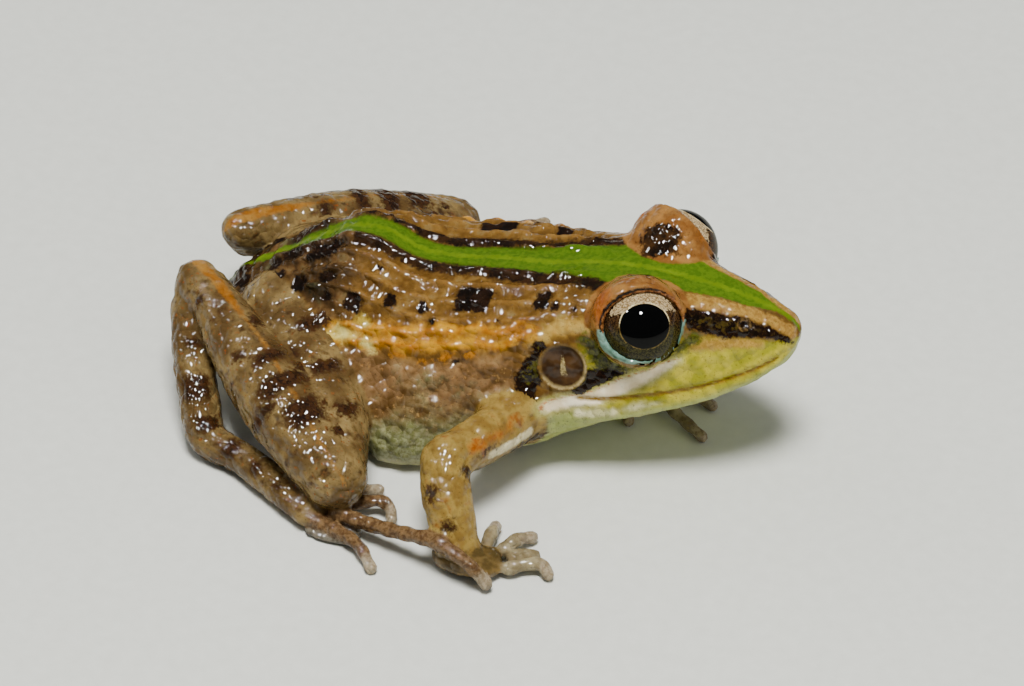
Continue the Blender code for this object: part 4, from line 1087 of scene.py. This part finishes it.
# %% Grain of the surface
# Small domes stand for the granules, with finer noise over them. A dome's height falls
# with the square of the distance from its middle, so that its top is round and holds one spark.
# They are drawn coarser than the real ones, which would be too fine to show.
DOME_EVERY, DOME_HEIGHT = 0.66, 0.19
domes = add(tree, "TexVoronoi", {"Vector": place}, {"Scale": 1 / (DOME_EVERY * MM)},
            feature="F1").outputs["Distance"]
domes = add(tree, "Math", {0: domes, 1: domes}, operation="MULTIPLY").outputs[0]
grain = add(tree, "Math", {0: stir["grain"]}, {1: 0.02}, operation="MULTIPLY").outputs[0]
tall = add(tree, "Math", {0: domes, 2: grain}, {1: -1.0}, operation="MULTIPLY_ADD").outputs[0]
smoother = add(tree, "MapRange", {"Value": even_parts}, {"To Min": 1.0, "To Max": 0.3}).outputs[0]
bump_node = add(tree, "Bump", {"Height": tall, "Strength": smoother}, {"Distance": DOME_HEIGHT * MM})
for socket in ("Normal", "Coat Normal"):
    tree.links.new(bump_node.outputs["Normal"], shader.inputs[socket])
skin_piece.data.materials.append(skin_material)
flesh = [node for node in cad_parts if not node.startswith("eye")]
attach(skin_piece, "root")
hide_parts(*flesh)
print("skin stands for", len(flesh), "nodes")

# %% [markdown]
# ## The eyes
# Each eye is a ball with a slight bulge in front, the cornea. The pupil is an oval, a little wider
# than tall, ringed in gold; above it the iris is pale, below it is dark with olive flecks.
# Each zone is a field on the ball again: how many degrees inside the zone a point lies, counted from
# the middle of the pupil. The wet cornea is the shader's clear coat, as smooth as glass.

# %% Eyeballs
PUPIL_AXIS = np.array([0.333, 0.725, 0.602])
BALL_RADIUS = EYE_RADIUS - 0.03
CORNEA_RISE, CORNEA_WIDTH = 0.10, 38.0
EYE_RINGS, EYE_SIDES = 73, 96
# Degrees from the pupil's middle: its half width and height, half the gold ring's width, how far up
# the pale crescent begins and where it ends, how far down the dark half begins, and the iris's rim.
PUPIL_WIDE, PUPIL_TALL, GOLD_HALF = 36.0, 32.0, 0.9
CRESCENT_UP, CRESCENT_END, LOWER_DOWN, LIMB_AT = 21, 58, 5, 67


def eyeball(name, side):
    """Rings round the pupil's axis; the radius swells in front by a bell of the angle."""
    centre, axis, forward, upright = eye_frame(side, PUPIL_AXIS)
    away = np.linspace(0, 180, EYE_RINGS + 2)[1:-1, None]
    round_it = np.linspace(0, 2 * math.pi, EYE_SIDES, endpoint=False)[None]
    radius = BALL_RADIUS + CORNEA_RISE * bump(away, 0, CORNEA_WIDTH)
    out, across = radius * np.cos(np.radians(away)), radius * np.sin(np.radians(away))
    rows = (centre + out[..., None] * axis + (across * np.cos(round_it))[..., None] * forward
            + (across * np.sin(round_it))[..., None] * upright)
    front, back = centre + axis * (BALL_RADIUS + CORNEA_RISE), centre - axis * BALL_RADIUS
    quads, caps = grid_faces(*rows.shape[:2])
    # The right eye is a mirror image, so its faces are listed the other way round to face outwards.
    faces = [tuple(int(v) for v in face[::side]) for face in (*quads, *caps)]
    eye = mesh_piece(name, np.vstack([rows.reshape(-1, 3), front, back]), faces)
    ahead, above = away * np.cos(round_it), away * np.sin(round_it)
    pupil = (1 - np.hypot(ahead / PUPIL_WIDE, above / PUPIL_TALL)) * PUPIL_TALL
    gold = GOLD_HALF - np.abs(pupil + GOLD_HALF + 0.3)
    zones = {"pupil": pupil, "gold": gold, "gold_top": np.minimum(gold, (above - 4) / 10),
             "crescent": np.minimum(above - CRESCENT_UP, CRESCENT_END - away),
             "lower": -above - LOWER_DOWN, "limb": away - LIMB_AT + 0 * above}
    store(eye.data, {label: np.append(values.ravel(), (values[0].mean(), values[-1].mean()))
                     for label, values in zones.items()})
    return eye


# %% Iris
EYE_LAYERS = (
    ("lower", 0.0, 12.0, "patch", 8.0, "#15150a", "#3c3818", "fleck"),
    ("crescent", 0.0, 1.5, "fleck", 5.0, "#68502f", "#b29d76", "fleck"),
    ("gold", 0.0, 0.4, "fleck", 0.2, "#4c3e1c", "#6e5a2a", "fleck"),
    ("gold_top", 0.0, 0.5, "fleck", 0.2, "#cdb987", "#e3d6a8", "fleck"),
    ("limb", 0.0, 2.5, "fleck", 1.0, "#040302", "#0a0705", "fleck"),
    ("pupil", 0.0, 0.6, "fleck", 0.3, "#020202", "#030303", "fleck"),
)
eye_material, tree, shader = new_material("frog_eye", {
    "Roughness": 0.5, "IOR": 1.4, "Specular IOR Level": 0.0, "Coat Weight": 0.5, "Coat Roughness": 0.015,
    "Coat IOR": 1.33})
iris = glaze(tree, ("#120b06", "#452f18", "fleck"), {"fleck": 0.13, "patch": 0.9}, EYE_LAYERS)[0]
tree.links.new(iris, shader.inputs["Base Color"])
for word, side in (("right", -1), ("left", 1)):
    eye = eyeball(f"eyeball_{word}", side)
    eye.data.materials.append(eye_material)
    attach(eye, "root")
    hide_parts(f"eye_{word}")
print("eyes made")

# %% [markdown]
# ## The floor
# A wide matt sheet of pale card, so that the frog's own colours and its shadow are all there is to see.

# %% Floor
FLOOR_HALF = 2
floor = bpy.data.objects.new("floor", bpy.data.meshes.new("floor"))
corners = [(FLOOR_HALF * across, FLOOR_HALF * along, 0) for across, along in
           ((-1, -1), (1, -1), (1, 1), (-1, 1))]
floor.data.from_pydata(corners, [], [(0, 1, 2, 3)])
bpy.context.scene.collection.objects.link(floor)
card, tree, shader = new_material("pale_card", {"Roughness": 0.8})
place = add(tree, "TexCoord").outputs["Object"]
grain = add(tree, "TexNoise", {"Vector": place}, {"Scale": 900.0, "Detail": 3.0})
tone = add(tree, "Mix", {0: grain.outputs["Fac"]}, {6: linear("#c9cabf"), 7: linear("#d6d7cd")},
           data_type="RGBA")
tree.links.new(tone.outputs[2], shader.inputs["Base Color"])
floor.data.materials.append(card)
